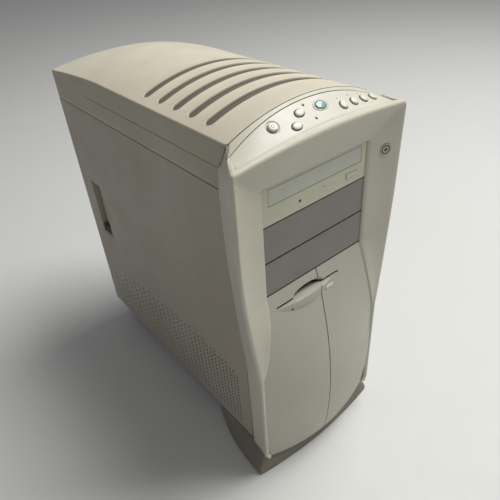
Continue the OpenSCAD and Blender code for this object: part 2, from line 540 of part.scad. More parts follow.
// ---- fans ----
// A square fan frame along +Y from y = 0, and its rotor.
module fan_frame(size, thick) {
  difference() {
    translate([-size / 2, 0, -size / 2]) cube([size, thick, size]);
    along_y(0, -1, 0, size / 2 - 1.7, thick + 2, $fn = 64);
    for (x = [4.3 - size / 2, size / 2 - 4.3], z = [4.3 - size / 2, size / 2 - 4.3])
      along_y(x, -1, z, 2.1, thick + 2);
  }
  along_y(0, 0, 0, size * 0.18, 1.9);
  for (a = [22.5, 112.5, 202.5, 292.5]) rotate([0, a, 0]) translate([size * 0.15, 0, -1.4])
    cube([size / 2 - 0.9 - size * 0.15, 1.9, 2.8]);
}
module fan_rotor(size, thick) {
  along_y(0, 2.6, 0, size * 0.17, thick - 4);
  for (a = [0:360 / 7:359]) rotate([0, a, 0]) translate([size * 0.15, thick * 0.52, 0]) rotate([32, 0, 0])
    translate([0, -0.7, -size * 0.12]) cube([size / 2 - 3.4 - size * 0.15, 1.4, size * 0.24]);
}
psu_fan_x = -28;
psu_fan_z = (psu_z0 + psu_z1) / 2;

module power_supply_case() color([0.62, 0.62, 0.62]) {
  supply_box();
  span(-50, 10, psu_y0 + 20, psu_y0 + 60, psu_z0 + 0.5, psu_z0 + 35);
  difference() {
    span(38, 58, cy1 - 12, cy1 - sheet_t - 1.2, psu_z0 + 50, psu_z0 + 68);
    span(40, 56, cy1 - 5, cy1, psu_z0 + 54, psu_z0 + 64);
  }
}
module supply_box() difference() {
  span(-75, 75, psu_y0, cy1 - sheet_t - 0.2, psu_z0, psu_z1);
  span(-74, 74, psu_y0 + 1, cy1 - sheet_t - 1.2, psu_z0 + 1, psu_z1 - 1);
  along_y(psu_fan_x, cy1 - 6, psu_fan_z, fan_size / 2 - 3, 10);
  span(34, 62, cy1 - 6, cy1, psu_z0 + 12, psu_z0 + 32);
  span(40, 56, cy1 - 3, cy1, psu_z0 + 54, psu_z0 + 64);
  for (i = [0:7]) span(-60 + i * 15, -54 + i * 15, psu_y0 - 1, psu_y0 + 3, psu_z0 + 20, psu_z0 + 66);
}
module power_supply_fan() color([0.15, 0.15, 0.15])
  translate([psu_fan_x, cy1 - sheet_t - 1.4, psu_fan_z]) mirror([0, 1, 0]) fan_frame(fan_size, 25);
module power_supply_rotor() color([0.15, 0.15, 0.15])
  translate([psu_fan_x, cy1 - sheet_t - 1.4, psu_fan_z]) mirror([0, 1, 0]) fan_rotor(fan_size, 25);
module mains_inlet() color([0.1, 0.1, 0.1]) {
  difference() {
    span(34.3, 61.7, cy1 - 22, cy1 - 0.6, psu_z0 + 12.3, psu_z0 + 31.7);
    span(36.3, 59.7, cy1 - 18, cy1 + 1, psu_z0 + 14.3, psu_z0 + 29.7);
  }
  for (i = [-1, 1]) span(48 + i * 7 - 1, 48 + i * 7 + 1, cy1 - 18, cy1 - 8, psu_z0 + 19, psu_z0 + 23);
  span(47, 49, cy1 - 18, cy1 - 8, psu_z0 + 23, psu_z0 + 27);
}
module voltage_switch() color([0.75, 0.12, 0.1]) {
  span(40.3, 47.7, cy1 - 4.9, cy1 - 3.4, psu_z0 + 54.3, psu_z0 + 63.7);
  span(42, 46, cy1 - 3.4, cy1 - 1.5, psu_z0 + 56, psu_z0 + 62);
}

// ---- boards ----
mb_x = cx - sheet_t - 5;
mb_y1 = cy1 - sheet_t - 1.5;
mb_y0 = mb_y1 - 190;
mb_z0 = io_z0 - 88;
mb_z1 = io_z1 + 4;
module motherboard() color([0.1, 0.35, 0.2]) difference() {
  span(mb_x - 1.6, mb_x, mb_y0, mb_y1, mb_z0, mb_z1);
  for (p = hole_places) along_x(mb_x - 3, p[0], p[1], 1.9, 6);
}
hole_places = [for (y = [mb_y0 + 8, mb_y0 + 95, mb_y1 - 20], z = [mb_z0 + 5, mb_z0 + 96, mb_z1 - 8]) [y, z]];
module standoffs() color("gold") for (p = hole_places) {
  along_x(mb_x, p[0], p[1], 2.8, 5);
  along_x(mb_x - 3.2, p[0], p[1], 2.8, 1.6);
}
cpu_y = mb_y0 + 104;
cpu_z = mb_z1 - 62;
sink_x1 = mb_x - 1.6 - 9;
module processor() color([0.85, 0.84, 0.8]) {
  span(sink_x1 + 3, mb_x - 1.6, cpu_y - 26, cpu_y + 26, cpu_z - 28, cpu_z + 28);
  span(sink_x1, sink_x1 + 3, cpu_y - 24, cpu_y + 24, cpu_z - 24, cpu_z + 24);
}
module heatsink() color("silver") {
  half = cpu_fan_size / 2;
  span(sink_x1 - 5, sink_x1, cpu_y - half, cpu_y + half, cpu_z - half, cpu_z + half);
  for (i = [0:10]) let (z = cpu_z - half + i * (cpu_fan_size - 1.6) / 10)
    span(sink_x1 - 30, sink_x1 - 5, cpu_y - half, cpu_y + half, z, z + 1.6);
}
module on_heatsink() translate([sink_x1 - 30.2, cpu_y, cpu_z]) rotate([0, 0, 90]) children();
module cpu_fan_frame() color([0.15, 0.15, 0.15]) on_heatsink() fan_frame(cpu_fan_size, 15);
module cpu_fan_rotor() color([0.2, 0.2, 0.2]) on_heatsink() fan_rotor(cpu_fan_size, 15);
module memory_modules() color([0.15, 0.4, 0.2]) for (i = [0, 1]) let (y = mb_y0 + 36 - i * 12) {
  span(mb_x - 9.6, mb_x - 1.6, y - 3, y + 3, mb_z1 - 146, mb_z1 - 6);
  span(mb_x - 33, mb_x - 9.6, y - 0.7, y + 0.7, mb_z1 - 142, mb_z1 - 10);
}
// Rear ports: [distance in from the board, width, height, drop from the opening's top]
ports = [[0, 13, 13, 7], [0, 13, 13, 22], [0, 15, 14, 38], [0, 12, 34, 56], [13.5, 12, 54, 62],
  [0, 11, 11, 118], [0, 11, 11, 131], [0, 11, 11, 144]];
module port_block() color([0.75, 0.75, 0.78]) for (p = ports) let (x1 = mb_x - 1.7 - p[0], z1 = io_z1 - p[3])
  difference() {
    span(x1 - p[1], x1, mb_y1 - 14, cy1 + 0.4, z1 - p[2], z1);
    if (p[1] == 13) along_y(x1 - 6.5, cy1 - 8, z1 - 6.5, 4.5, 12);
    if (p[1] == 11) along_y(x1 - 5.5, cy1 - 8, z1 - 5.5, 1.9, 12);
    if (p[1] == 15) for (x = [x1 - 13.5, x1 - 6.5])
      span(x, x + 5, cy1 - 8, cy1 + 2, z1 - 13, z1 - 1);
  }
module port_plate() color("silver") difference() {
  span(cx - 51.5, cx - 5.5, cy1 - sheet_t - 0.9, cy1 - sheet_t - 0.1, io_z0 - 0.5, io_z1 + 0.5);
  for (p = ports) let (x1 = mb_x - 1.7 - p[0], z1 = io_z1 - p[3])
    span(x1 - p[1] - slack, x1 + slack, cy1 - 9, cy1 + 2, z1 - p[2] - slack, z1 + slack);
}
module card_sockets() color([0.9, 0.9, 0.86]) for (i = [0:slot_n - 1])
  span(mb_x - 12.6, mb_x - 1.6, mb_y1 - 130, mb_y1 - 20, slot_centre(i) - 4, slot_centre(i) + 4);
module card(i, long, tall) {
  zc = slot_centre(i);
  span(mb_x - 12.7 - tall, mb_x - 12.7, cy1 - 4 - long, cy1 - sheet_t - 0.9, zc - 0.8, zc + 0.8);
  slot_plate(i);
}
module graphics_card() color([0.35, 0.2, 0.1]) {
  card(0, 160, 84);
  span(cx - 60, cx - 28, cy1 - 1.4, cy1 + 2.5, slot_centre(0) - 5, slot_centre(0) + 5);
  span(mb_x - 70, mb_x - 34, cy1 - 110, cy1 - 74, slot_centre(0) - 12, slot_centre(0) - 0.8);
}
module modem_card() color([0.1, 0.3, 0.3]) {
  card(2, 120, 70);
  for (i = [0, 1]) span(cx - 50 + i * 18, cx - 38 + i * 18, cy1 - 1.4, cy1 + 1.5,
    slot_centre(2) - 5, slot_centre(2) + 5);
}
// The bracket or the blank cover of one expansion slot.
module slot_plate(i) span(cx - 118, cx - 6, cy1 - sheet_t - 0.9, cy1 - sheet_t - 0.1,
  slot_centre(i) - 9.4, slot_centre(i) + 9.4);
module slot_covers() color("silver") for (i = [1, 3]) slot_plate(i);
module rear_fan() color([0.15, 0.15, 0.15])
  translate([fan_x, cy1 - sheet_t - 0.1, fan_z]) mirror([0, 1, 0]) fan_frame(fan_size, 25);
module rear_fan_rotor() color([0.2, 0.2, 0.2])
  translate([fan_x, cy1 - sheet_t - 0.1, fan_z]) mirror([0, 1, 0]) fan_rotor(fan_size, 25);
module speaker() color([0.15, 0.15, 0.15]) along_y(cx - 40, cy0 + sheet_t, base_h + 150, 25, 14);
// A flat cable from the board to the optical drive, folded over once.
module ribbon_cable() color([0.75, 0.75, 0.76]) {
  span(-20, 30, bay_y + 195.2, bay_y + 209, drive_z0 + 20, drive_z0 + 21);
  span(-20, 30, bay_y + 208, bay_y + 209, psu_z0 - 70, drive_z0 + 20);
  span(-20, mb_x - 8.8, bay_y + 208, bay_y + 209, psu_z0 - 71, psu_z0 - 70);
  span(mb_x - 8.6, mb_x - 1.7, bay_y + 203, bay_y + 213, psu_z0 - 96, psu_z0 - 46);
}

top_cover();
front_bezel();
lower_fascia();
control_plate();
power_button();
email_button();
search_button();
internet_button();
play_button();
stop_button();
back_button();
forward_button();
status_lights();
switch_sheet();
case_badge();
left_side_panel();
right_side_panel();
panel_screws();
pedestal();
rubber_feet();
chassis_floor();
chassis_top();
rear_panel();
front_frame();
motherboard_tray();
drive_cage();
small_drive_cage();
optical_drive_case();
optical_drive_bezel();
disc_tray();
tray_eject_button();
upper_bay_cover();
lower_bay_cover();
floppy_drive_case();
floppy_door();
floppy_eject_button();
floppy_light();
hard_drive();
power_supply_case();
power_supply_fan();
power_supply_rotor();
mains_inlet();
voltage_switch();
motherboard();
standoffs();
processor();
heatsink();
cpu_fan_frame();
cpu_fan_rotor();
memory_modules();
port_block();
port_plate();
card_sockets();
graphics_card();
modem_card();
slot_covers();
rear_fan();
rear_fan_rotor();
speaker();
ribbon_cable();
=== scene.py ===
import math

import bmesh
import bpy
import numpy as np
from mathutils import Matrix, Vector


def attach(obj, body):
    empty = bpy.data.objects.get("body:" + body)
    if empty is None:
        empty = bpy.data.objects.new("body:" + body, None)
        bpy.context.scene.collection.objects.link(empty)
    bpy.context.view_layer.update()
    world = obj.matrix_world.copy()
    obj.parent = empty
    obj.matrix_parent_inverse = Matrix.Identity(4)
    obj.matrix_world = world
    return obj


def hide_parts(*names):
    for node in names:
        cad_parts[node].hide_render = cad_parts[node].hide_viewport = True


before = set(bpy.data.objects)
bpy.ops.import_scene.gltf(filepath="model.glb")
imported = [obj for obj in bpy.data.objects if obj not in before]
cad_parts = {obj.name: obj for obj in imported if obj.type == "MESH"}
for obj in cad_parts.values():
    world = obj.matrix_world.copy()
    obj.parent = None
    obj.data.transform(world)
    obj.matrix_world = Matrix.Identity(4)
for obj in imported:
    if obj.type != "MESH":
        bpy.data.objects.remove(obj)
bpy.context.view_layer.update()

mm = 0.001

# measures shared by the outside pieces, in millimetres
tower = {
    "height": 480.0, "sideX": 90.0, "archR": 215.0,
    "drivesY": -193.4,  # the plane of the drive fronts
    "seamZ": 433.7, "waistZ": 184.0, "fullZ": 357.0, "bayPitch": 42.4,
    "wideHalf": 112.0, "waistHalf": 96.5, "bayHalf": 73.0, "bayTop": 418.0, "fasciaTop": 290.8,
}
by = tower["drivesY"]


def smooth(t):  # 3t^2 - 2t^3 between 0 and 1
    t = np.clip(t, 0, 1)
    return t * t * (3 - 2 * t)


def archZ(x):  # circle of radius archR whose top is at the crest
    return tower["height"] - tower["archR"] + np.sqrt(tower["archR"] ** 2 - np.square(x))


def deckZ(x, y):  # straight lines from the deck's shallow front curve up to the cover's arch
    s = (y - (by - 9)) / 28
    return (1 - s) * (458.8 - np.square(x) / 1400) + s * archZ(x)


def deckNormal(x, y):
    gx = (deckZ(x - 0.5, y) - deckZ(x + 0.5, y))
    gy = (deckZ(x, y - 0.5) - deckZ(x, y + 0.5))
    return Vector((float(gx), float(gy), 1.0)).normalized()


def rimHalf(z):  # full width beside the bays, then a 1.5-power curve in to the waist
    lift = np.clip(1 - (z - tower["waistZ"]) / (tower["fullZ"] - tower["waistZ"]), 0, 1)
    wide = tower["wideHalf"] - (tower["wideHalf"] - tower["waistHalf"]) * lift ** 1.5
    return np.where(z < tower["waistZ"], tower["waistHalf"], wide)


def fasciaHalf(z):  # bay width at the top, spreading by a 1.5-power curve to the waist
    s = np.clip((tower["fasciaTop"] - z) / (tower["fasciaTop"] - tower["waistZ"]), 0, 1)
    return tower["bayHalf"] + (tower["waistHalf"] - 2.3 - tower["bayHalf"]) * s ** 1.5


def fasciaY(x, z):  # a parabola from top to bottom, with a side to side crown that grows downwards
    mid, top = 111.8, tower["fasciaTop"]
    crown = 16.6 * smooth((top - z) / 150) * np.square(x / tower["waistHalf"])
    return by - 29.6 + 29.6 * np.square((z - mid) / (top - mid)) + crown


def sideEdge(z):  # where the bezel's side meets the panel: a quarter sine that leans forward going down
    lean = 14.6 * np.sin(np.pi / 2 * np.clip((z - 206) / 172, 0, 1))
    return by + 21.7 + lean - 2.6 * smooth((214 - z) / 30)


# finishes
def node(tree, kind, **values):
    made = tree.nodes.new(kind)
    for key, value in values.items():
        if key in made.inputs:
            made.inputs[key].default_value = value
        else:
            setattr(made, key, value)
    return made


def noiseNode(tree, place, scale, detail=3.0, rough=0.55):
    made = node(tree, "ShaderNodeTexNoise", Scale=scale, Detail=detail, Roughness=rough)
    tree.links.new(place, made.inputs["Vector"])
    return made.outputs["Fac"]


def rampNode(tree, factor, stops):
    made = tree.nodes.new("ShaderNodeValToRGB")
    ramp = made.color_ramp
    while len(ramp.elements) < len(stops):
        ramp.elements.new(0.5)
    for element, (at, colour) in zip(ramp.elements, stops):
        element.position = at
        element.color = (*colour, 1) if not np.isscalar(colour) else (colour, colour, colour, 1)
    tree.links.new(factor, made.inputs["Fac"])
    return made.outputs["Color"]


def mixColour(tree, factor, a, b, mode="MIX"):
    made = node(tree, "ShaderNodeMix", data_type="RGBA", blend_type=mode)
    for socket, value in ((made.inputs[0], factor), (made.inputs[6], a), (made.inputs[7], b)):
        if hasattr(value, "is_output"):
            tree.links.new(value, socket)
        else:
            socket.default_value = value if np.isscalar(value) else (*value, 1)
    return made.outputs[2]


def fromSrgb(r, g, b):  # 0-255 display values to linear
    c = np.array([r, g, b]) / 255
    return tuple(np.where(c < 0.04045, c / 12.92, ((c + 0.055) / 1.055) ** 2.4).tolist())


finishes = {}


def makeFinish(name, look):  # two tones clouded together, specks of dirt, fine grain and rubbed patches
    material = bpy.data.materials.new(name)
    material.use_nodes = True
    tree = material.node_tree
    shader = tree.nodes["Principled BSDF"]
    place = tree.nodes.new("ShaderNodeTexCoord").outputs["Object"]
    cloud = noiseNode(tree, place, look.get("cloudScale", 9), 4, 0.6)
    colour = rampNode(tree, cloud, [(0.32, look["dark"]), (0.68, look["light"])])
    marks = noiseNode(tree, place, look.get("markScale", 70), 5, 0.7)
    markFrom = look.get("markFrom", 0.66)
    markMask = rampNode(tree, marks, [(markFrom, 0.0), (markFrom + 0.1, 1.0)])
    strength = node(tree, "ShaderNodeMath", operation="MULTIPLY")
    tree.links.new(markMask, strength.inputs[0])
    strength.inputs[1].default_value = look.get("markAmount", 0.25)
    colour = mixColour(tree, strength.outputs[0], colour, look.get("mark", (0.2, 0.17, 0.13)))
    speck = noiseNode(tree, place, look.get("speckScale", 1400), 2, 0.5)
    speckTone = rampNode(tree, speck, [(0.35, 1 - look.get("speck", 0.05)), (0.65, 1.0)])
    colour = mixColour(tree, 1.0, colour, speckTone, "MULTIPLY")
    if "streak" in look:  # long rubbed lines
        stretch = tree.nodes.new("ShaderNodeMapping")
        stretch.inputs["Scale"].default_value = look["streak"]
        tree.links.new(place, stretch.inputs["Vector"])
        lines = noiseNode(tree, stretch.outputs["Vector"], 60, 6, 0.6)
        lineTone = rampNode(tree, lines, [(0.3, 1 - look.get("streakDepth", 0.1)), (0.7, 1.0)])
        colour = mixColour(tree, 1.0, colour, lineTone, "MULTIPLY")
    if "seam" in look:  # painted shade: the colour darkens where surfaces nearly meet, from the occlusion node
        shade = node(tree, "ShaderNodeAmbientOcclusion", Distance=0.003, samples=6)
        seamShadeTone = rampNode(tree, shade.outputs["AO"], [(0.25, look["seam"]), (0.8, 1.0)])
        colour = mixColour(tree, 1.0, colour, seamShadeTone, "MULTIPLY")
    if "paintedShade" in look:  # painted shade: darker where the mesh's shade layer is high, in the cover's grooves and on its upright sides
        let = node(tree, "ShaderNodeAttribute", attribute_name="paintedShade")
        paintedShadeTone = rampNode(tree, let.outputs["Fac"], [(0.1, 1.0), (0.9, look["paintedShade"])])
        colour = mixColour(tree, 1.0, colour, paintedShadeTone, "MULTIPLY")
    tree.links.new(colour, shader.inputs["Base Color"])
    rubbed = noiseNode(tree, place, look.get("rubScale", 26), 4, 0.6)
    low, high = look["rough"]
    tree.links.new(rampNode(tree, rubbed, [(0.3, low), (0.7, high)]), shader.inputs["Roughness"])
    bump = node(tree, "ShaderNodeBump", Strength=0.35, Distance=look.get("grain", 0.00012))
    tree.links.new(noiseNode(tree, place, look.get("grainScale", 1100), 2, 0.5), bump.inputs["Height"])
    wave = node(tree, "ShaderNodeBump", Strength=0.25, Distance=0.0004)
    tree.links.new(noiseNode(tree, place, 18, 2, 0.4), wave.inputs["Height"])
    tree.links.new(bump.outputs["Normal"], wave.inputs["Normal"])
    tree.links.new(wave.outputs["Normal"], shader.inputs["Normal"])
    shader.inputs["Metallic"].default_value = look.get("metal", 0.0)
    shader.inputs["Coat Weight"].default_value = look.get("coat", 0.0)
    shader.inputs["Transmission Weight"].default_value = look.get("clear", 0.0)
    shader.inputs["IOR"].default_value = 1.46
    finishes[name] = material


def tones(r, g, b, spread=0.06, warm=0.0):  # a light and a slightly darker, warmer tone of one colour
    light = fromSrgb(r, g, b)
    dark = tuple(c * (1 - spread * 2.2) * (1 - warm * k) for c, k in zip(light, (0, 0.4, 1)))
    return {"light": light, "dark": dark}


coverLook = {**tones(214, 207, 188, 0.05, 0.06), "rough": (0.42, 0.62), "cloudScale": 7, "markAmount": 0.16,
             "mark": (0.28, 0.24, 0.18), "markScale": 55, "markFrom": 0.68, "grain": 0.00010, "speck": 0.05}
bezelLook = {**tones(210, 207, 191, 0.04, 0.05), "rough": (0.38, 0.58), "cloudScale": 8, "markAmount": 0.14,
             "mark": (0.30, 0.26, 0.20), "markScale": 60, "markFrom": 0.69, "grain": 0.00008, "speck": 0.04}
fasciaLook = {**bezelLook, **tones(192, 190, 177, 0.035, 0.05), "markScale": 42}
deckLook = {**bezelLook, **tones(214, 212, 199, 0.03, 0.04), "rough": (0.32, 0.5)}
panelLook = {**tones(177, 170, 158, 0.05, 0.05), "rough": (0.45, 0.62), "cloudScale": 5, "markAmount": 0.2,
             "mark": (0.26, 0.22, 0.17), "markScale": 38, "markFrom": 0.67, "grain": 0.00014,
             "grainScale": 700, "streak": (0.25, 1.0, 0.12), "streakDepth": 0.05}
footLook = {**tones(140, 134, 124, 0.08, 0.05), "rough": (0.5, 0.7), "markAmount": 0.22,
            "mark": (0.42, 0.38, 0.32), "grain": 0.00014, "speck": 0.08}
blankLook = {**tones(141, 138, 131, 0.05, 0.03), "rough": (0.42, 0.6), "markAmount": 0.15, "markScale": 90,
             "grain": 0.00010, "streak": (0.1, 1.0, 1.0), "streakDepth": 0.05}
driveLook = {**tones(210, 210, 188, 0.05, 0.08), "rough": (0.35, 0.5), "markAmount": 0.12, "grain": 0.00006}
trayLook = {**tones(203, 205, 192, 0.04, 0.05), "rough": (0.35, 0.5), "markAmount": 0.12, "grain": 0.00006}
buttonLook = {**tones(232, 229, 216, 0.03, 0.05), "rough": (0.22, 0.36), "markAmount": 0.12,
              "mark": (0.35, 0.3, 0.22), "grain": 0.00003}
tealLook = {**tones(158, 202, 192, 0.08, 0.0), "rough": (0.12, 0.22), "coat": 0.5, "clear": 0.25,
            "grain": 0.00002, "markAmount": 0.05}
darkLook = {**tones(38, 38, 40, 0.15, 0.0), "rough": (0.35, 0.55), "mark": (0.16, 0.15, 0.14),
            "markAmount": 0.3}
# dark plastic of slots and the floppy door, and also painted shade for the gap strips, the vent sheet and
# the ring round the internet lens
slotDarkAndShadeLook = {**tones(30, 29, 27, 0.12, 0.0), "rough": (0.5, 0.7), "mark": (0.1, 0.09, 0.08),
            "markAmount": 0.3}
rubberLook = {**tones(34, 33, 32, 0.2, 0.0), "rough": (0.7, 0.9), "mark": (0.14, 0.13, 0.12),
              "markAmount": 0.4}
zincLook = {"light": (0.62, 0.63, 0.64), "dark": (0.45, 0.46, 0.48), "rough": (0.3, 0.48), "metal": 1.0,
            "cloudScale": 45, "mark": (0.3, 0.28, 0.25), "markAmount": 0.25, "streak": (0.05, 1.0, 1.0),
            "streakDepth": 0.16, "grain": 0.00004}
aluminiumLook = {**zincLook, "light": (0.8, 0.8, 0.81), "dark": (0.66, 0.67, 0.69), "rough": (0.25, 0.4)}
supplyLook = {"light": (0.40, 0.41, 0.42), "dark": (0.30, 0.31, 0.32), "rough": (0.4, 0.55), "metal": 0.6,
              "cloudScale": 30, "markAmount": 0.25, "streak": (0.05, 1.0, 1.0), "streakDepth": 0.1}
boardLook = {"light": (0.035, 0.17, 0.075), "dark": (0.02, 0.11, 0.05), "rough": (0.3, 0.45),
             "cloudScale": 60, "mark": (0.35, 0.3, 0.1), "markAmount": 0.5, "markScale": 260,
             "markFrom": 0.62, "coat": 0.3}
brassLook = {"light": (0.8, 0.58, 0.25), "dark": (0.6, 0.42, 0.17), "rough": (0.25, 0.4), "metal": 1.0}
redLook = {**tones(178, 36, 28, 0.08, 0.0), "rough": (0.3, 0.4), "grain": 0.00003}
socketLook = {**tones(216, 212, 198, 0.04, 0.03), "rough": (0.4, 0.55), "grain": 0.00004}
cableLook = {**tones(168, 168, 172, 0.04, 0.0), "rough": (0.4, 0.5), "streak": (1.0, 0.02, 0.02),
             "streakDepth": 0.25}
lensLook = {**tones(44, 52, 42, 0.1, 0.0), "rough": (0.15, 0.25), "coat": 0.6, "markAmount": 0.05,
            "grain": 0.00001}
inkLook = {**tones(70, 72, 74, 0.1, 0.0), "rough": (0.5, 0.6), "grain": 0.00002}
powerInkLook = {**tones(196, 60, 48, 0.1, 0.0), "rough": (0.4, 0.5), "grain": 0.00002}
badgeLook = {**tones(52, 56, 62, 0.15, 0.0), "rough": (0.2, 0.3), "coat": 0.6, "grain": 0.00001}

outerSeamShade = {"seam": 0.16}  # painted shade in the joints of the outer plastics and the panels, darker where surfaces nearly meet
# painted shade round the buttons, darker where surfaces nearly meet
buttonSeamShade = {"seam": 0.5}
for name, look in {
    "coverPlastic": {**coverLook, **outerSeamShade, "paintedShade": 0.22}, "bezelPlastic": {**bezelLook, **outerSeamShade},
    "fasciaPlastic": {**fasciaLook, **outerSeamShade}, "deckPlastic": {**deckLook, **outerSeamShade},
    "panelPaint": {**panelLook, **outerSeamShade}, "footPlastic": {**footLook, **outerSeamShade},
    "blankPlastic": {**blankLook, **outerSeamShade}, "drivePlastic": {**driveLook, **outerSeamShade},
    "trayPlastic": {**trayLook, **outerSeamShade}, "buttonPlastic": {**buttonLook, **buttonSeamShade},
    "tealPlastic": tealLook, "darkPlastic": darkLook,
    "slotDarkAndShade": slotDarkAndShadeLook, "rubber": rubberLook, "zincSheet": zincLook, "bareAluminium": aluminiumLook,
    "supplyPaint": supplyLook, "circuitBoard": boardLook, "turnedBrass": brassLook, "redSlider": redLook,
    "socketPlastic": socketLook, "ribbonPlastic": cableLook, "lampLens": lensLook, "printInk": inkLook,
    "powerInk": powerInkLook, "badgeFace": badgeLook,
}.items():
    makeFinish(name, look)
print("finishes:", len(finishes))


# mesh helpers
def gridQuads(rows, cols, around=False, flip=False):
    i = np.arange(rows - 1)[:, None]
    j = np.arange(cols if around else cols - 1)[None, :]
    a = i * cols + j
    b = i * cols + (j + 1) % cols
    quads = np.stack([a, b, b + cols, a + cols], -1).reshape(-1, 4)
    return quads[:, ::-1] if flip else quads


def makePiece(name, points, quads, finish, body="case", angle=40):
    mesh = bpy.data.meshes.new(name)
    points = np.ascontiguousarray(points, dtype=np.float32).reshape(-1, 3) * mm
    quads = np.ascontiguousarray(quads, dtype=np.int32)
    mesh.vertices.add(len(points))
    mesh.vertices.foreach_set("co", points.ravel())
    mesh.loops.add(quads.size)
    mesh.loops.foreach_set("vertex_index", quads.ravel())
    mesh.polygons.add(len(quads))
    mesh.polygons.foreach_set("loop_start", np.arange(0, quads.size, 4, dtype=np.int32))
    mesh.update(calc_edges=True)
    mesh.validate()
    mesh.polygons.foreach_set("use_smooth", np.ones(len(mesh.polygons), dtype=bool))
    mesh.set_sharp_from_angle(angle=math.radians(angle))
    mesh.materials.append(finishes[finish])
    piece = bpy.data.objects.new(name, mesh)
    bpy.context.scene.collection.objects.link(piece)
    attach(piece, body)
    return piece


def thicken(piece, wall, even=True):
    solid = piece.modifiers.new("wall", "SOLIDIFY")
    solid.thickness = wall * mm
    solid.offset = -1
    solid.use_even_offset = even


def closeEnds(piece):
    # one flat face over each open end of a turned shape, and every face turned outwards
    work = bmesh.new()
    work.from_mesh(piece.data)
    rim = [edge for edge in work.edges if edge.is_boundary]
    if rim:
        bmesh.ops.holes_fill(work, edges=rim, sides=0)
    bmesh.ops.recalc_face_normals(work, faces=work.faces)
    work.to_mesh(piece.data)
    work.free()


def slimBox(name, xs, ys, zs, finish, body="case"):
    corners = np.array([[x, y, z] for z in zs for y in ys for x in xs])
    quads = np.array([[0, 2, 3, 1], [4, 5, 7, 6], [0, 1, 5, 4], [2, 6, 7, 3], [0, 4, 6, 2], [1, 3, 7, 5]])
    box = makePiece(name, corners, quads, finish, body)
    closeEnds(box)
    return box


def cutWith(piece, cutter):
    # takes the cutter's shape out of the piece and applies it, so no cutter stays in the file
    bpy.context.view_layer.update()
    cut = piece.modifiers.new("cut", "BOOLEAN")
    cut.operation = "DIFFERENCE"
    cut.object = cutter
    cut.solver = "MANIFOLD"
    evaluated = piece.evaluated_get(bpy.context.evaluated_depsgraph_get())
    mesh = bpy.data.meshes.new_from_object(evaluated)
    piece.modifiers.clear()
    old = piece.data
    piece.data = mesh
    mesh.name = old.name
    mesh.set_sharp_from_angle(angle=math.radians(38))
    bpy.data.meshes.remove(old)
    bpy.data.objects.remove(cutter)


def settle(piece, keepX=112.0, keepTop=480.0):
    # applies the wall, then holds every point inside the tower's own box
    evaluated = piece.evaluated_get(bpy.context.evaluated_depsgraph_get())
    mesh = bpy.data.meshes.new_from_object(evaluated)
    piece.modifiers.clear()
    old = piece.data
    piece.data = mesh
    mesh.name = old.name
    bpy.data.meshes.remove(old)
    points = np.empty(len(mesh.vertices) * 3, dtype=np.float32)
    mesh.vertices.foreach_get("co", points)
    points = points.reshape(-1, 3)
    low = np.array([-keepX, -222.9, 0.0]) * mm
    high = np.array([keepX, 222.9, keepTop]) * mm
    mesh.vertices.foreach_set("co", np.clip(points, low, high).astype(np.float32).ravel())
    mesh.update()


def softEdges(piece, width, segments=2):
    bevel = piece.modifiers.new("softEdges", "BEVEL")
    bevel.width = width * mm
    bevel.segments = segments
    bevel.limit_method = "ANGLE"
    bevel.angle_limit = math.radians(35)
    bevel.harden_normals = False


def softCopy(nodeName, finish, width, body="case", angle=30):  # the CAD shape with rounded edges
    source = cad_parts[nodeName]
    mesh = source.data.copy()
    words = nodeName.split("_")
    piece = bpy.data.objects.new(words[0] + "".join(w.capitalize() for w in words[1:]) + "Shown", mesh)
    bpy.context.scene.collection.objects.link(piece)
    work = bmesh.new()
    work.from_mesh(mesh)
    bmesh.ops.remove_doubles(work, verts=work.verts, dist=0.00001)
    bmesh.ops.dissolve_limit(work, angle_limit=math.radians(1), verts=work.verts, edges=work.edges)
    work.to_mesh(mesh)
    work.free()
    mesh.polygons.foreach_set("use_smooth", np.ones(len(mesh.polygons), dtype=bool))
    mesh.set_sharp_from_angle(angle=math.radians(angle))
    mesh.materials.clear()
    mesh.materials.append(finishes[finish])
    softEdges(piece, width)
    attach(piece, body)
    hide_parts(nodeName)


# top cover
cover = {"base": 410.7, "tailStart": 73.0, "tailDrop": 23.5, "edgeDrop": 12.0, "arrisR": 1.8, "wall": 2.4,
         "grooves": 5, "grooveFirst": 61.4, "groovePitch": 27.8, "grooveHalf": 5.8, "grooveReach": 81.0,
         "grooveDepth": 2.4, "lip": 0.3, "seamDepth": 0.7}


def coverTop(x, y):
    # one circle at each place along the cover, through the crest and both edges there
    t = np.clip((y - cover["tailStart"]) / 150, 0, 1)
    crest = tower["height"] - cover["tailDrop"] * t ** 1.7
    edge = archZ(89.3) - cover["edgeDrop"] * t ** 1.5
    rise = crest - edge
    radius = (89.3 ** 2 + rise ** 2) / (2 * rise)
    return crest - cover["lip"] - radius + np.sqrt(radius ** 2 - np.square(x))


def grooveDepth(x, y):
    # distance to a long slot with round ends gives a flat floor, a quick wall and a low raised lip
    depth = np.zeros(np.broadcast(x, y).shape)
    for i in range(cover["grooves"]):
        centre = by + cover["grooveFirst"] + i * cover["groovePitch"]
        run = np.maximum(np.abs(x) - (cover["grooveReach"] - cover["grooveHalf"]), 0)
        away = np.hypot(run, y - centre) - cover["grooveHalf"]
        raised = cover["lip"] * np.exp(-np.square((away - 0.7) / 0.6))
        depth += cover["grooveDepth"] * smooth(-away) - raised
    return depth


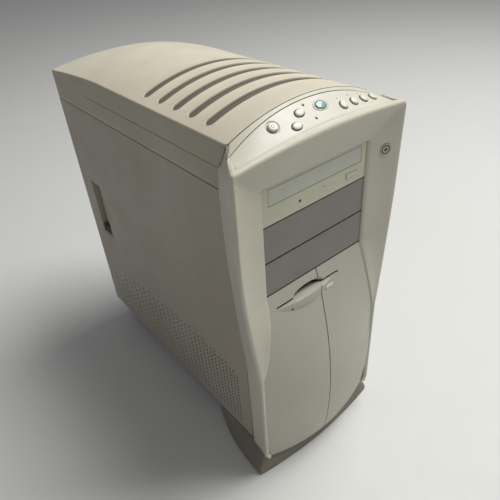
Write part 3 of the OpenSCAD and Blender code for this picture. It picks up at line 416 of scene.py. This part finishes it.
def buildCover():
    endX = np.arange(73.6, 83.2, 0.8)
    xs = np.unique(np.concatenate([np.linspace(0, 73, 19), endX, np.linspace(83.6, 88.6, 5)]))
    xs = np.concatenate([-xs[::-1], xs[1:]])
    seamSteps = np.array([-1.1, -0.5, -0.2, 0.2, 0.5, 1.1])  # close rows at the wall's seam line
    wallH = np.concatenate([np.linspace(0, 0.44, 6), (seamSteps + 23.0) / 48.2,
                            np.linspace(0.53, 1, 8)])
    turn = np.radians(np.array([14, 28, 42, 56, 66]))
    halfSteps = np.array([1.4, 2.8, 4.2, 4.8, 5.3, 5.7, 6.1, 6.6, 7.4])  # rows across half a groove
    offsets = np.concatenate([-halfSteps[::-1], [0], halfSteps])
    centres = by + cover["grooveFirst"] + np.arange(cover["grooves"]) * cover["groovePitch"]
    frontRows = by + np.array([19.8, 20.0, 20.5, 21.4, 26, 36, 46])
    ys = np.unique(np.concatenate([frontRows, (centres[:, None] + offsets).ravel(),
                                   np.linspace(centres[-1] + 14, 219, 26), [220.6, 221.8, 222.6, 223.0]]))
    frontY, rearY = ys[0], ys[-1]
    yGrid = ys[:, None]
    r = cover["arrisR"]
    xArris = tower["sideX"] - r * (1 - math.cos(turn[-1]))
    zArris = coverTop(xArris, yGrid)
    zFoot = zArris - r * math.sin(turn[-1])  # top of the upright wall
    columns = []
    fade = (yGrid - frontY) / (rearY - frontY)
    wallFront = lambda z: np.interp(z, [410, 433.7, 460.5], [37.3, 34.7, 21.6]) + by
    for h in wallH:
        z = cover["base"] + h * (zFoot - cover["base"])
        yF = wallFront(z[0])
        y = yF + fade * (rearY - yF)
        x = -tower["sideX"] + cover["seamDepth"] * np.exp(-np.square((z - tower["seamZ"]) / 0.55)) + 0 * y
        columns.append(np.concatenate([x, y, z], 1))
    for a in turn:
        z = zFoot + r * np.sin(a)
        yF = wallFront(z[0])
        x = -tower["sideX"] + r * (1 - np.cos(a)) + 0 * z
        columns.append(np.concatenate([x, yF + fade * (rearY - yF), z], 1))
    left = np.stack(columns, 1)
    crownX = xs[None, :] + 0 * yGrid
    crownY = yGrid + 0 * crownX
    crownZ = coverTop(crownX, crownY) - grooveDepth(crownX, crownY)
    crown = np.stack([crownX, crownY, crownZ], -1)
    right = left[:, ::-1] * np.array([-1, 1, 1])
    shell = np.concatenate([left, crown, right], 1)
    # the first and last millimetres roll inwards, so both ends show a rounded lip
    rearRoll = np.square(np.clip((ys - 220.6) / 2.4, 0, 1)) * 0.99
    lipIn = np.square(1 - smooth((ys - frontY) / 1.6)) + 2.0 * (1 - np.sqrt(1 - rearRoll))
    centreAxis = np.array([0, 0, tower["height"] - 120.0])
    away = shell * np.array([1, 0, 1]) - centreAxis
    away /= np.linalg.norm(away, axis=-1, keepdims=True)
    shell = shell - away * lipIn[:, None, None]
    piece = makePiece("topCoverShell", shell, gridQuads(*shell.shape[:2]), "coverPlastic", angle=38)
    # painted shade layer read by the cover's finish: the groove floors by their depth, the upright sides at
    # 0.42
    paintedShadeMask = np.zeros(shell.shape[:2])
    grooved = grooveDepth(crownX, crownY) / cover["grooveDepth"]
    paintedShadeMask[:, left.shape[1]:-left.shape[1]] = np.clip(grooved, 0, 1)
    paintedShadeMask[:, :len(wallH)] = paintedShadeMask[:, -len(wallH):] = 0.42  # painted shade: the upright sides are darkened as if they stood in shade
    layer = piece.data.attributes.new("paintedShade", "FLOAT", "POINT")
    layer.data.foreach_set("value", paintedShadeMask.ravel().astype(np.float32))
    thicken(piece, cover["wall"], even=False)
    settle(piece)
    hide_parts("top_cover")
    # the closed rear end of the cover
    across = np.linspace(-1, 1, 41)
    up = np.linspace(0, 1, 9)[:, None]
    topZ = coverTop(across * 87.6, 219.0) - 1.2
    end = np.stack([across * 87.9 + 0 * up, np.full((9, 41), 220.6), 424.0 + up * (topZ - 424.0)], -1)
    endPiece = makePiece("topCoverEnd", end, gridQuads(9, 41, flip=True), "coverPlastic")
    thicken(endPiece, 2.0)


buildCover()
print("top cover done")

# front bezel
bezel = {"rimY": -13.0, "roll": 2.0, "wall": 2.0, "crownZ": 456.0, "plateFront": -9.3, "bow": 1.6,
         "hollow": 1.1}


def bezelStations():
    # rim, inner and back lines as matched points: up the left side, round the corner, over the brow,
    # and mirrored
    z = np.concatenate([[34.5, 35.2, 36.5, 39, 42], np.linspace(48, 178, 15), np.linspace(184, 290, 22),
                        np.linspace(296, 440, 20), [444, 446.5]])
    rimX = np.where(z < 42, tower["waistHalf"] - (42 - z) * 0.5, rimHalf(z))
    rimY = by + bezel["rimY"] + bezel["bow"] * np.sin(np.pi * np.clip((z - 184) / 266, 0, 1))
    rim = np.stack([-rimX, rimY, z], 1)
    innerX = np.where(z < 184, np.minimum(94.5, rimX - 2.0), np.where(z < 290.8, fasciaHalf(z) + 0.5, 73.8))
    innerZ = np.where(z < 290.8, z, 290.8 + (z - 290.8) * (415.5 - 290.8) / (446.5 - 290.8))
    innerY = np.where(z < 184, rimY + 1.6, np.where(z < 290.8, fasciaY(innerX, z) + 0.6, by))
    blendIn = smooth((z - 184) / 14)
    innerY = np.where(z < 184, innerY, innerY * blendIn + (rimY + 1.6) * (1 - blendIn))
    inner = np.stack([-innerX, innerY, innerZ], 1)
    backZ = np.where(z < 400, z, 400 + (z - 400) * (431.0 - 400) / 46.5)
    backY = np.where(backZ < 411, sideEdge(backZ), by + np.interp(backZ, [411, 433.5], [36.2, 34.0]))
    back = np.stack([-90 + 0 * z, backY, backZ], 1)
    # corner: the rim and the bay opening turn through a small quarter circle; the back line runs D, C, B
    a = np.linspace(0, np.pi / 2, 7)
    cornerRim = np.stack([-(111.9 - 3.4 * (1 - np.cos(a))), by + bezel["rimY"] + 0 * a,
                          446.7 + 3.6 * np.sin(a)], 1)
    cornerIn = np.stack([-(73.8 - 3.2 * (1 - np.cos(a))), by + 0 * a, 415.6 + 3.2 * np.sin(a)], 1)
    seamPoint = np.array([-90, by + 34, 433.5])
    deckPoint = np.array([-98.8, by + 6.7, deckZ(98.8, by + 6.7)])
    platePoint = np.array([-105.2, by - 9, 451.0])
    leg = np.linspace(0, 1, 4)[:, None]
    cornerBack = np.concatenate([seamPoint * (1 - leg) + deckPoint * leg,
                                 (deckPoint * (1 - leg) + platePoint * leg)[1:]])
    x = np.linspace(-106.5, 0, 26)
    browRim = np.stack([x, by + bezel["rimY"] + 0 * x, bezel["crownZ"] - 6.0 * np.square(x / 111.7)], 1)
    browIn = np.stack([x * (69.5 / 106.5), by + 0 * x, 418.8 + 0 * x], 1)
    xb = x * (104.3 / 106.5)
    browBack = np.stack([xb, by + bezel["plateFront"] + 0 * x, deckZ(xb, by - 9.0) + 0.2], 1)
    halves = [np.concatenate(parts) for parts in ((rim, cornerRim, browRim), (inner, cornerIn, browIn),
                                                  (back, cornerBack, browBack))]
    kinds = np.concatenate([np.zeros(len(z)), np.linspace(0, 1, len(a)), np.ones(len(x))])
    flipX = np.array([-1, 1, 1])
    loops = [np.concatenate([h, h[-2::-1] * flipX]) for h in halves]
    return (*loops, np.concatenate([kinds, kinds[-2::-1]]))


def buildBezel():
    rim, inner, back, kind = bezelStations()
    r = bezel["roll"]
    intoDish = (inner - rim) / np.linalg.norm(inner - rim, axis=1, keepdims=True)
    intoSide = (back - rim) / np.linalg.norm(back - rim, axis=1, keepdims=True)
    reach = np.minimum(r, 0.42 * np.linalg.norm(inner - rim, axis=1))[:, None]
    reachBack = np.minimum(r, 0.3 * np.linalg.norm(back - rim, axis=1))[:, None]
    dishEdge, sideEdgeLine = rim + intoDish * reach, rim + intoSide * reachBack
    rows = [inner + np.array([0, 4.0, 0]), inner + np.array([0, 0.5, 0])]
    for t in np.linspace(0.015, 1, 11):  # slightly hollow dish from the bay opening out to the rim
        row = inner + (dishEdge - inner) * t
        broad = np.clip(np.linalg.norm(inner - rim, axis=1) / 40, 0, 1)
        row[:, 1] += bezel["hollow"] * np.sin(np.pi * t) * broad
        rows.append(row)
    for t in (0.17, 0.34, 0.5, 0.66, 0.83):  # round rim: a quadratic curve pulled to the sharp corner
        rows.append(dishEdge * (1 - t) ** 2 + rim * 2 * t * (1 - t) + sideEdgeLine * t ** 2)
    for t in np.linspace(0, 0.985, 7):
        rows.append(sideEdgeLine + (back - sideEdgeLine) * t)
    side = np.sign(back[:, :1]) * np.array([[-1.0, 0, 0]])
    turnIn = side * (1 - kind[:, None]) + np.array([[0, 0.15, -1.0]]) * kind[:, None]
    rows.append(back + turnIn * 0.5)
    rows.append(back + turnIn * 3.0)
    skin = np.stack(rows)
    quads = gridQuads(*skin.shape[:2], flip=True)
    piece = makePiece("frontBezelShell", skin, quads, "bezelPlastic", angle=50)
    thicken(piece, bezel["wall"], even=False)
    settle(piece)
    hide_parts("front_bezel")


def plateRear(x):  # the control plate's rear line, swept forward towards its ends by a cube law
    return by + 15.9 - 9.2 * np.abs(x / 104) ** 3


def buildDeckEdge():
    # the bezel's own strip between the control plate and the cover, and the small cheek under its end
    s = np.linspace(-1, 1, 61)
    frontX, rearX = s * 98.6, s * 89.2
    t = np.linspace(0, 1, 6)[:, None]
    x = frontX * (1 - t) + rearX * t
    y = (plateRear(frontX) + 0.5) * (1 - t) + (by + 19.1) * t
    z = deckZ(x, y) - 0.12
    rows = np.stack([x, y, z], -1)
    first, last = rows[0] + np.array([0, -0.1, -2.6]), rows[-1] + np.array([0, 0.1, -2.6])
    rows = np.concatenate([first[None], rows, last[None]])
    piece = makePiece("deckRearStrip", rows, gridQuads(*rows.shape[:2]), "bezelPlastic", angle=50)
    thicken(piece, 1.4, even=False)
    for sign, name in ((-1, "leftDeckCheek"), (1, "rightDeckCheek")):
        corner = np.array([98.8, by + 6.7, deckZ(98.8, by + 6.7)])
        edge = np.array([89.3, by + 20.4, archZ(89.3)])
        seam = np.array([90.0, by + 34, 433.5])
        u = np.linspace(0, 1, 7)[:, None, None]
        v = np.linspace(0, 0.98, 7)[None, :, None]
        face = (corner * (1 - u) + edge * u) * (1 - v) + seam * v
        face = face * np.array([sign, 1, 1]) - np.array([0, 0, 0.1])
        cheek = makePiece(name, face, gridQuads(7, 7, flip=sign < 0), "bezelPlastic")
        thicken(cheek, 1.4, even=False)


def ribbon(name, first, last, depth, finish, body="case"):  # a closed strip between two lines of points
    skin = np.stack([first, last])
    piece = makePiece(name, skin, gridQuads(*skin.shape[:2]), finish, body)
    thicken(piece, depth, even=False)
    return piece


gaps = {"bay": 0.75, "between": 0.45, "cover": 0.9, "panelWide": 2.4}


def buildGaps():
    # painted shade: dark strips set into the joints round the bays, between the bay fronts, under the
    # cover's front edge and beside the side panels, standing for the shade inside the gaps
    half, low, top = tower["bayHalf"], tower["fasciaTop"], tower["bayTop"]
    g = gaps["bay"]
    face = (by - 0.12, by + 2.5)
    slimBox("bayGapLeft", (-half - g, -half), face, (low, top + g), "slotDarkAndShade")
    slimBox("bayGapRight", (half, half + g), face, (low, top + g), "slotDarkAndShade")
    slimBox("bayGapTop", (-half, half), face, (top, top + g), "slotDarkAndShade")
    tall = gaps["between"]
    for i, z in enumerate(low + tower["bayPitch"] * np.arange(3)):
        slimBox(f"bayJoint{i + 1}", (-half, half), face, (z - tall / 2, z + tall / 2), "slotDarkAndShade")
    x = np.linspace(-89.4, 89.4, 61)
    line = lambda y: np.stack([x, by + y + 0 * x, deckZ(x, by + np.minimum(y, 19) + 0 * x) + 0.1], 1)
    ribbon("coverGap", line(19.0), line(19.0 + gaps["cover"]), 1.2, "slotDarkAndShade")
    z = np.linspace(40, 222, 40)
    width = 0.5 + gaps["panelWide"] * smooth((222 - z) / 60)
    for sign, name in ((-1, "leftPanelGap"), (1, "rightPanelGap")):
        front = np.stack([sign * 90.12 + 0 * z, sideEdge(z) + 0.1, z], 1)
        back = np.stack([sign * 90.12 + 0 * z, sideEdge(z) + 0.1 + width, z], 1)
        pair = (front, back) if sign > 0 else (back, front)
        ribbon(name, *pair, 0.5, "slotDarkAndShade")
    # painted shade: a dark sheet behind the left panel's vents, standing for the shade inside
    slimBox("ventShadeSheet", (-88.0, -87.5), (by + 44, 205), (52, 214), "slotDarkAndShade", "left_panel")


buildBezel()
buildDeckEdge()
buildGaps()
print("bezel done")

# control plate and buttons
controls = {
    "power": {"at": (-49.3, 7.0), "r": 4.6, "stretch": 1.0},
    "email": {"at": (-17.5, 7.0), "r": 3.6, "stretch": 1.38},
    "search": {"at": (-28.4, -1.3), "r": 3.6, "stretch": 1.38},
    "internet": {"at": (8.8, 6.6), "r": 4.4, "stretch": 1.5},
    "play": {"at": (33.7, 1.0), "r": 4.1, "stretch": 1.0},
    "stop": {"at": (49.4, 2.0), "r": 4.1, "stretch": 1.0},
    "back": {"at": (64.6, 3.0), "r": 4.1, "stretch": 1.0},
    "forward": {"at": (79.6, 4.4), "r": 4.1, "stretch": 1.0},
}
lampPlaces = ((-8.6, 11.6), (-4.7, -1.6))


def deckFrame(at):
    # a turn that stands +Z along the deck's normal, and a move to that place on the deck
    x, y = at[0], by + at[1]
    normal = deckNormal(x, y)
    turn = Vector((0, 0, 1)).rotation_difference(normal).to_matrix()
    return np.array(turn), np.array([x, y, float(deckZ(x, y))])


def turnedPiece(name, profile, at, stretch, finish, body, sides=40, angle=40):
    # a profile of (radius, height) carried round its axis, widened by stretch into an ellipse
    a = np.linspace(0, 2 * np.pi, sides, endpoint=False)
    rings = [np.stack([radius * stretch * np.cos(a), radius * np.sin(a), np.full(sides, height)], 1)
             for radius, height in profile]
    turn, place = deckFrame(at)
    points = np.stack(rings) @ turn.T + place
    return makePiece(name, points, gridQuads(*points.shape[:2], around=True), finish, body, angle)


def ringPiece(name, profile, at, stretch, finish, body, sides=48):
    # a turned ring whose profile closes on itself
    a = np.linspace(0, 2 * np.pi, sides, endpoint=False)
    rings = [np.stack([(r + 0 * a) * np.cos(a) * stretch, r * np.sin(a), h + 0 * a], 1) for r, h in profile]
    turn, place = deckFrame(at)
    points = np.stack(rings) @ turn.T + place
    quads = gridQuads(len(profile) + 1, sides, around=True) % (len(profile) * sides)
    ring = makePiece(name, points, quads, finish, body, 50)
    closeEnds(ring)


def buildControls():
    s = np.linspace(-1, 1, 121)[None, :]
    t = np.concatenate([[0], np.linspace(0.02, 0.98, 12), [1]])[:, None]
    halfFront = 104.2
    x = s * (halfFront - 5.6 * t)
    y0 = by - 8.7
    y = y0 + (plateRear(x) - y0) * t
    z = deckZ(x, y) + 0.15
    edge = np.minimum(np.minimum(t, 1 - t) * 24, (1 - np.abs(s)) * 104)
    z = z - 0.6 * np.square(1 - np.clip(edge / 0.9, 0, 1))
    skin = np.stack([x, y, z], -1)
    plate = makePiece("controlPlateShell", skin, gridQuads(*skin.shape[:2]), "deckPlastic", angle=60)
    thicken(plate, 2.2, even=False)
    for name, c in controls.items():
        ringR = c["r"] + 0.45
        profile = [(ringR, -6), (ringR, -0.45), (ringR + 0.5, 0.12), (ringR + 1.2, 3)]
        bore = turnedPiece(name + "Bore", profile, c["at"], c["stretch"], "deckPlastic", "case", 48)
        closeEnds(bore)
        cutWith(plate, bore)
    power, lens = controls["power"], controls["internet"]
    profile = [(0.6, -0.6), (5.6, -0.62), (6.4, -0.4), (7.2, 0.3), (7.6, 2)]
    dish = turnedPiece("powerDish", profile, power["at"], 1, "deckPlastic", "case", 56)
    closeEnds(dish)
    cutWith(plate, dish)
    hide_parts("control_plate")
    for name, c in controls.items():
        r, h = c["r"], 2.0 if name != "internet" else 1.5
        dome = [(r, -3.0), (r, h - 0.9), (r - 0.15, h - 0.45), (r - 0.5, h - 0.12), (r - 1.0, h + 0.05),
                (r * 0.55, h + 0.2), (r * 0.25, h + 0.27), (0.02, h + 0.3)]
        finish = "tealPlastic" if name == "internet" else "buttonPlastic"
        body = f"{name}_button_body"
        cap = turnedPiece(name + "ButtonCap", dome, c["at"], c["stretch"], finish, body, 48, 50)
        closeEnds(cap)
        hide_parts(f"{name}_button")
    inner, outer = lens["r"] + 0.5, lens["r"] + 1.25
    profile = [(inner, -0.5), (outer, -0.4), (outer, 0.35), (outer - 0.35, 0.5), (inner, 0.4)]
    ringPiece("internetRing", profile, lens["at"], lens["stretch"], "buttonPlastic", "case")
    profile = [(outer, -0.5), (outer + 0.35, -0.5), (outer + 0.35, 0.16), (outer, 0.18)]
    ringPiece("internetShade", profile, lens["at"], lens["stretch"], "slotDarkAndShade", "case")
    profile = [(1.25, 1.9), (1.75, 1.9), (1.75, 2.29), (1.25, 2.31)]
    ringPiece("powerMark", profile, power["at"], 1, "powerInk", "power_button_body")
    for name, sides in (("play", 3), ("stop", 4), ("back", 3), ("forward", 3)):
        x, y = controls[name]["at"]
        profile = [(0.9, -0.3), (0.9, 0.19), (0.02, 0.2)]
        place = (x - 1.5, y + 7.2)
        mark = turnedPiece(name + "Mark", profile, place, 1, "printInk", "case", sides)
        closeEnds(mark)
    for i, at in enumerate(lampPlaces):
        profile = [(1.4, -2), (1.4, 0.15), (1.1, 0.4), (0.5, 0.55), (0.02, 0.6)]
        lamp = turnedPiece(f"statusLamp{i + 1}", profile, at, 1, "lampLens", "case", 24, 60)
        closeEnds(lamp)
        if i == 0:
            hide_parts("status_lights")


buildControls()
print("controls done")

# lower fascia
fascia = {"bottom": 23.0, "groove": 0.55, "grooveDepth": 1.1, "slotX": (-63.2, 30.4), "slotZ": 272.4,
          "wall": 2.2}


def fasciaPoint(x, z):
    # the face with its middle groove, finger scoop and the raised lip under the disk slot
    y = fasciaY(x, z) + 0.15
    y = y + fascia["grooveDepth"] * np.exp(-np.square(x / fascia["groove"]) ** 2)
    scoopMiddle = np.square((x + 16.5) / 21) + np.square((z - 274.0) / 6.0)
    y = y + 7.0 * smooth(1.25 - scoopMiddle) * (z > 272.3)
    lensTop = 271.2 - 0.02 * (x + 16.5)
    lensLow = 257.6 + 13.2 * np.square((x + 20.0) / 45.0)
    rise = np.clip((lensTop - z) / 0.8, 0, 1) * np.clip((z - lensLow) / 13.0, 0, 1) ** 0.6
    y = y - 4.6 * rise * np.clip(1 - np.square((x + 18.5) / 46), 0, 1) ** 0.7
    return y


def buildFascia():
    zs = np.unique(np.concatenate([np.linspace(42, 250, 53), np.linspace(250, 290.5, 55)]))
    s = np.linspace(-1, 1, 121)
    fine = np.array([-0.02, -0.012, -0.008, -0.0055, -0.003, 0, 0.003, 0.0055, 0.008, 0.012, 0.02])
    s = np.unique(np.concatenate([s, fine]))[None, :]
    z = zs[:, None]
    x = s * (fasciaHalf(z) - 0.25)
    y = fasciaPoint(x, z + 0 * x)
    main = np.stack([x, y, z + 0 * x], -1)
    low = []
    for t in np.linspace(0, 1, 9)[:-1]:  # below: the sides are chamfered in and the lower edge bows down
        xl = s * (94.0 - (1 - t) * 6.0)
        edgeZ = fascia["bottom"] + 7.0 * np.square(s)
        zl = edgeZ + (42 - edgeZ) * t
        low.append(np.stack([xl, fasciaPoint(xl, zl), zl], -1)[0])
    skin = np.concatenate([np.stack(low), main])
    tuck = skin[-1] + np.array([0, 2.5, 0.1])
    under = skin[0] + np.array([0, 3.0, 0.6])
    skin = np.concatenate([under[None], skin, tuck[None]])
    piece = makePiece("lowerFasciaShell", skin, gridQuads(*skin.shape[:2]), "fasciaPlastic", angle=50)
    thicken(piece, fascia["wall"], even=False)
    x0, x1 = fascia["slotX"]
    zc = fascia["slotZ"]
    boxCut(piece, (x0, x1), (by - 30, by + 12), (zc - 1.5, zc + 1.7))
    boxCut(piece, (7.0, 19.0), (by - 30, by + 12), (259.5, 265.1))
    boxCut(piece, (-45.4, -42.6), (by - 30, by + 12), (260.8, 263.6))
    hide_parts("lower_fascia")


def boxCut(piece, xs, ys, zs):
    cutWith(piece, slimBox("slotCutter", xs, ys, zs, "fasciaPlastic"))


buildFascia()
print("fascia done")

# foot
foot = {"frontHalf": 106.0, "frontY": -16.6, "backY": 124.0, "floor": 0.4, "top": 35.6, "wall": 3.0}


def footOutline(level):
    # floor outline: a shallow parabola in front and 2.3-power sides; it draws in as it rises
    s = np.linspace(0, 1, 25)
    y = foot["backY"] + (-6.0 - foot["backY"]) * s
    x = foot["frontHalf"] - 31 * ((y + 6) / 130) ** 2.3
    a = np.linspace(0, np.pi / 2, 7)[1:-1]
    corner = np.stack([-(x[-1] - 3 * (1 - np.cos(a))), -6.0 - 2.4 * np.sin(a)], 1)
    fx = np.linspace(-102, 0, 16)
    front = np.stack([fx, foot["frontY"] + 8.4 * np.square(fx / 104)], 1)
    half = np.concatenate([np.stack([-x, y], 1), corner, front])
    ring = np.concatenate([half, half[-2::-1] * np.array([-1, 1])])
    inwards = level ** 1.6
    pull = np.where(np.abs(ring[:, 0]) > 88, 1.0, 0.0)
    targetX = np.sign(ring[:, 0]) * np.minimum(np.abs(ring[:, 0]), 89.2)
    ringX = ring[:, 0] + (targetX - ring[:, 0]) * inwards * pull
    ringY = ring[:, 1] + np.where(ring[:, 1] < 10, 9.0 * inwards, 0)
    ringZ = np.full(len(ring), foot["floor"] + 2.4 + level * (foot["top"] - 2.8))
    return np.stack([ringX, ringY + by, ringZ], 1)


def buildFoot():
    rows = [footOutline(0.0) * np.array([0.985, 1, 1]) + np.array([0, 0, -2.4])]
    rows += [footOutline(level) for level in np.linspace(0, 1, 10)]
    skin = np.stack(rows)
    piece = makePiece("footFlare", skin, gridQuads(*skin.shape[:2]), "footPlastic", angle=50)
    thicken(piece, foot["wall"], even=False)
    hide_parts("pedestal")
    plinth = slimBox("footPlinth", (-71.8, 71.8), (by + 24, 208.8), (3.2, 35.4), "footPlastic")
    softEdges(plinth, 1.2)


buildFoot()
print("foot done")

# badge
badge = {"rings": ((6.4, 5.2), (3.6, 2.2)), "proud": 0.12, "sides": 48}


def buildBadge():
    # rings laid on the plain disc; its own flat direction is the least spread of its points
    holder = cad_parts["case_badge"]
    points = np.empty(len(holder.data.vertices) * 3)
    holder.data.vertices.foreach_get("co", points)
    points = points.reshape(-1, 3)
    middle = (points.min(axis=0) + points.max(axis=0)) / 2
    normal = np.linalg.svd(points - points.mean(axis=0))[2][2]
    normal = normal * (1 if normal[1] < 0 else -1)
    turn = np.array(Vector((0, 0, 1)).rotation_difference(Vector(normal)).to_matrix())
    surface = ((points - middle) @ normal).max() / mm
    sides = badge["sides"]
    a = np.linspace(0, 2 * np.pi, sides, endpoint=False)
    for i, (outer, inner) in enumerate(badge["rings"]):
        profile = [(inner, -0.1), (outer, -0.1), (outer, badge["proud"]), (inner, badge["proud"])]
        rings = [np.stack([r * np.cos(a), r * np.sin(a), surface + h + 0 * a], 1) for r, h in profile]
        placed = np.stack(rings) @ turn.T + middle / mm
        quads = gridQuads(len(profile) + 1, sides, around=True) % (len(profile) * sides)
        finish = "bezelPlastic" if i else "trayPlastic"
        ring = makePiece(f"badgeRing{i + 1}", placed, quads, finish, "case", 50)
        closeEnds(ring)


buildBadge()
print("badge done")

# pieces that keep the CAD shape
softened = {  # node: (finish, bevel in mm, slot, body)
    "optical_drive_bezel": ("drivePlastic", 0.5, "drive_plastic", "case"),
    "disc_tray": ("trayPlastic", 0.5, "tray_plastic", "tray"),
    "tray_eject_button": ("drivePlastic", 0.4, "drive_plastic", "tray_eject"),
    "upper_bay_cover": ("blankPlastic", 0.6, "grey_cover", "case"),
    "lower_bay_cover": ("blankPlastic", 0.6, "grey_cover", "case"),
    "floppy_eject_button": ("buttonPlastic", 0.6, "drive_plastic", "floppy_eject"),
    "rubber_feet": ("rubber", 0.5, "rubber", "case"),
    "mains_inlet": ("darkPlastic", 0.4, "dark_plastic", "case"),
    "power_supply_case": ("supplyPaint", 0.3, "supply_steel", "case"),
    "panel_screws": ("zincSheet", 0.4, "zinc", "left_panel"),
}
for nodeName, (finish, width, slotName, body) in softened.items():
    softCopy(nodeName, finish, width, body)

plainFinish = {
    "zincSheet": ["chassis_floor", "chassis_top", "rear_panel", "front_frame", "motherboard_tray",
                  "drive_cage", "small_drive_cage", "optical_drive_case", "floppy_drive_case",
                  "port_block", "port_plate", "slot_covers"],
    "panelPaint": ["left_side_panel", "right_side_panel"],
    "bareAluminium": ["hard_drive", "heatsink"],
    "darkPlastic": ["power_supply_fan", "power_supply_rotor", "cpu_fan_frame", "cpu_fan_rotor", "rear_fan",
                    "rear_fan_rotor", "speaker"],
    "slotDarkAndShade": ["floppy_door"],
    "circuitBoard": ["motherboard", "memory_modules", "graphics_card", "modem_card", "switch_sheet"],
    "turnedBrass": ["standoffs"], "redSlider": ["voltage_switch"],
    "socketPlastic": ["processor", "card_sockets"],
    "ribbonPlastic": ["ribbon_cable"], "lampLens": ["floppy_light"], "badgeFace": ["case_badge"],
}
for finish, names in plainFinish.items():
    for nodeName in names:
        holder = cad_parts[nodeName]
        holder.data.materials.clear()
        holder.data.materials.append(finishes[finish])
print("CAD pieces finished")

# floor, light and camera
stage = {"floorTone": (221, 222, 219), "floorSize": 9.0}
floorMesh = bpy.data.meshes.new("studioFloor")
half = stage["floorSize"] / 2
floorCorners = [(-half, -half, 0), (half, -half, 0), (half, half, 0), (-half, half, 0)]
floorMesh.from_pydata(floorCorners, [], [(0, 1, 2, 3)])
studioFloor = bpy.data.objects.new("studioFloor", floorMesh)
bpy.context.scene.collection.objects.link(studioFloor)
makeFinish("floorPaint", {**tones(*stage["floorTone"], 0.01, 0.0), "rough": (0.5, 0.65), "cloudScale": 2.0,
                          "markAmount": 0.03, "speck": 0.01, "grain": 0.0002, "grainScale": 90})
floorMesh.materials.append(finishes["floorPaint"])


def areaLight(name, place, target, size, power, tone=(1, 1, 1)):
    data = bpy.data.lights.new(name, "AREA")
    data.shape = "RECTANGLE"
    data.size, data.size_y = size
    data.energy = power
    data.color = tone
    lamp = bpy.data.objects.new(name, data)
    lamp.location = place
    lamp.rotation_euler = (Vector(target) - Vector(place)).to_track_quat("-Z", "Y").to_euler()
    bpy.context.scene.collection.objects.link(lamp)


areaLight("overheadSoftbox", (1.15, -0.45, 2.5), (0, 0, 0.3), (1.5, 1.4), 70, (1.0, 0.99, 0.965))
areaLight("frontFill", (-0.9, -2.2, 1.6), (0, 0, 0.25), (1.4, 1.1), 0.6, (0.97, 0.985, 1.0))
world = bpy.data.worlds.new("studioAir")
bpy.context.scene.world = world
world.use_nodes = True
world.node_tree.nodes["Background"].inputs["Color"].default_value = (0.93, 0.95, 0.97, 1)
world.node_tree.nodes["Background"].inputs["Strength"].default_value = 0.22
bpy.context.scene.view_settings.view_transform = "Standard"

cameraPlace = {"at": (-0.31567, -0.49377, 0.63654), "towards": (0.0, -0.07580, 0.25299), "roll": 4.418,
               "lens": 35.977}
cameraData = bpy.data.cameras.new("studioCamera")
cameraData.lens = cameraPlace["lens"]
cameraData.sensor_width = 36
camera = bpy.data.objects.new("studioCamera", cameraData)
sight = Vector(cameraPlace["towards"]) - Vector(cameraPlace["at"])
aim = sight.to_track_quat("-Z", "Y").to_matrix().to_4x4()
roll = Matrix.Rotation(math.radians(-cameraPlace["roll"]), 4, "Z")
camera.matrix_world = Matrix.Translation(cameraPlace["at"]) @ aim @ roll
bpy.context.scene.collection.objects.link(camera)
bpy.context.scene.camera = camera
print("stage done")

bpy.context.view_layer.update()
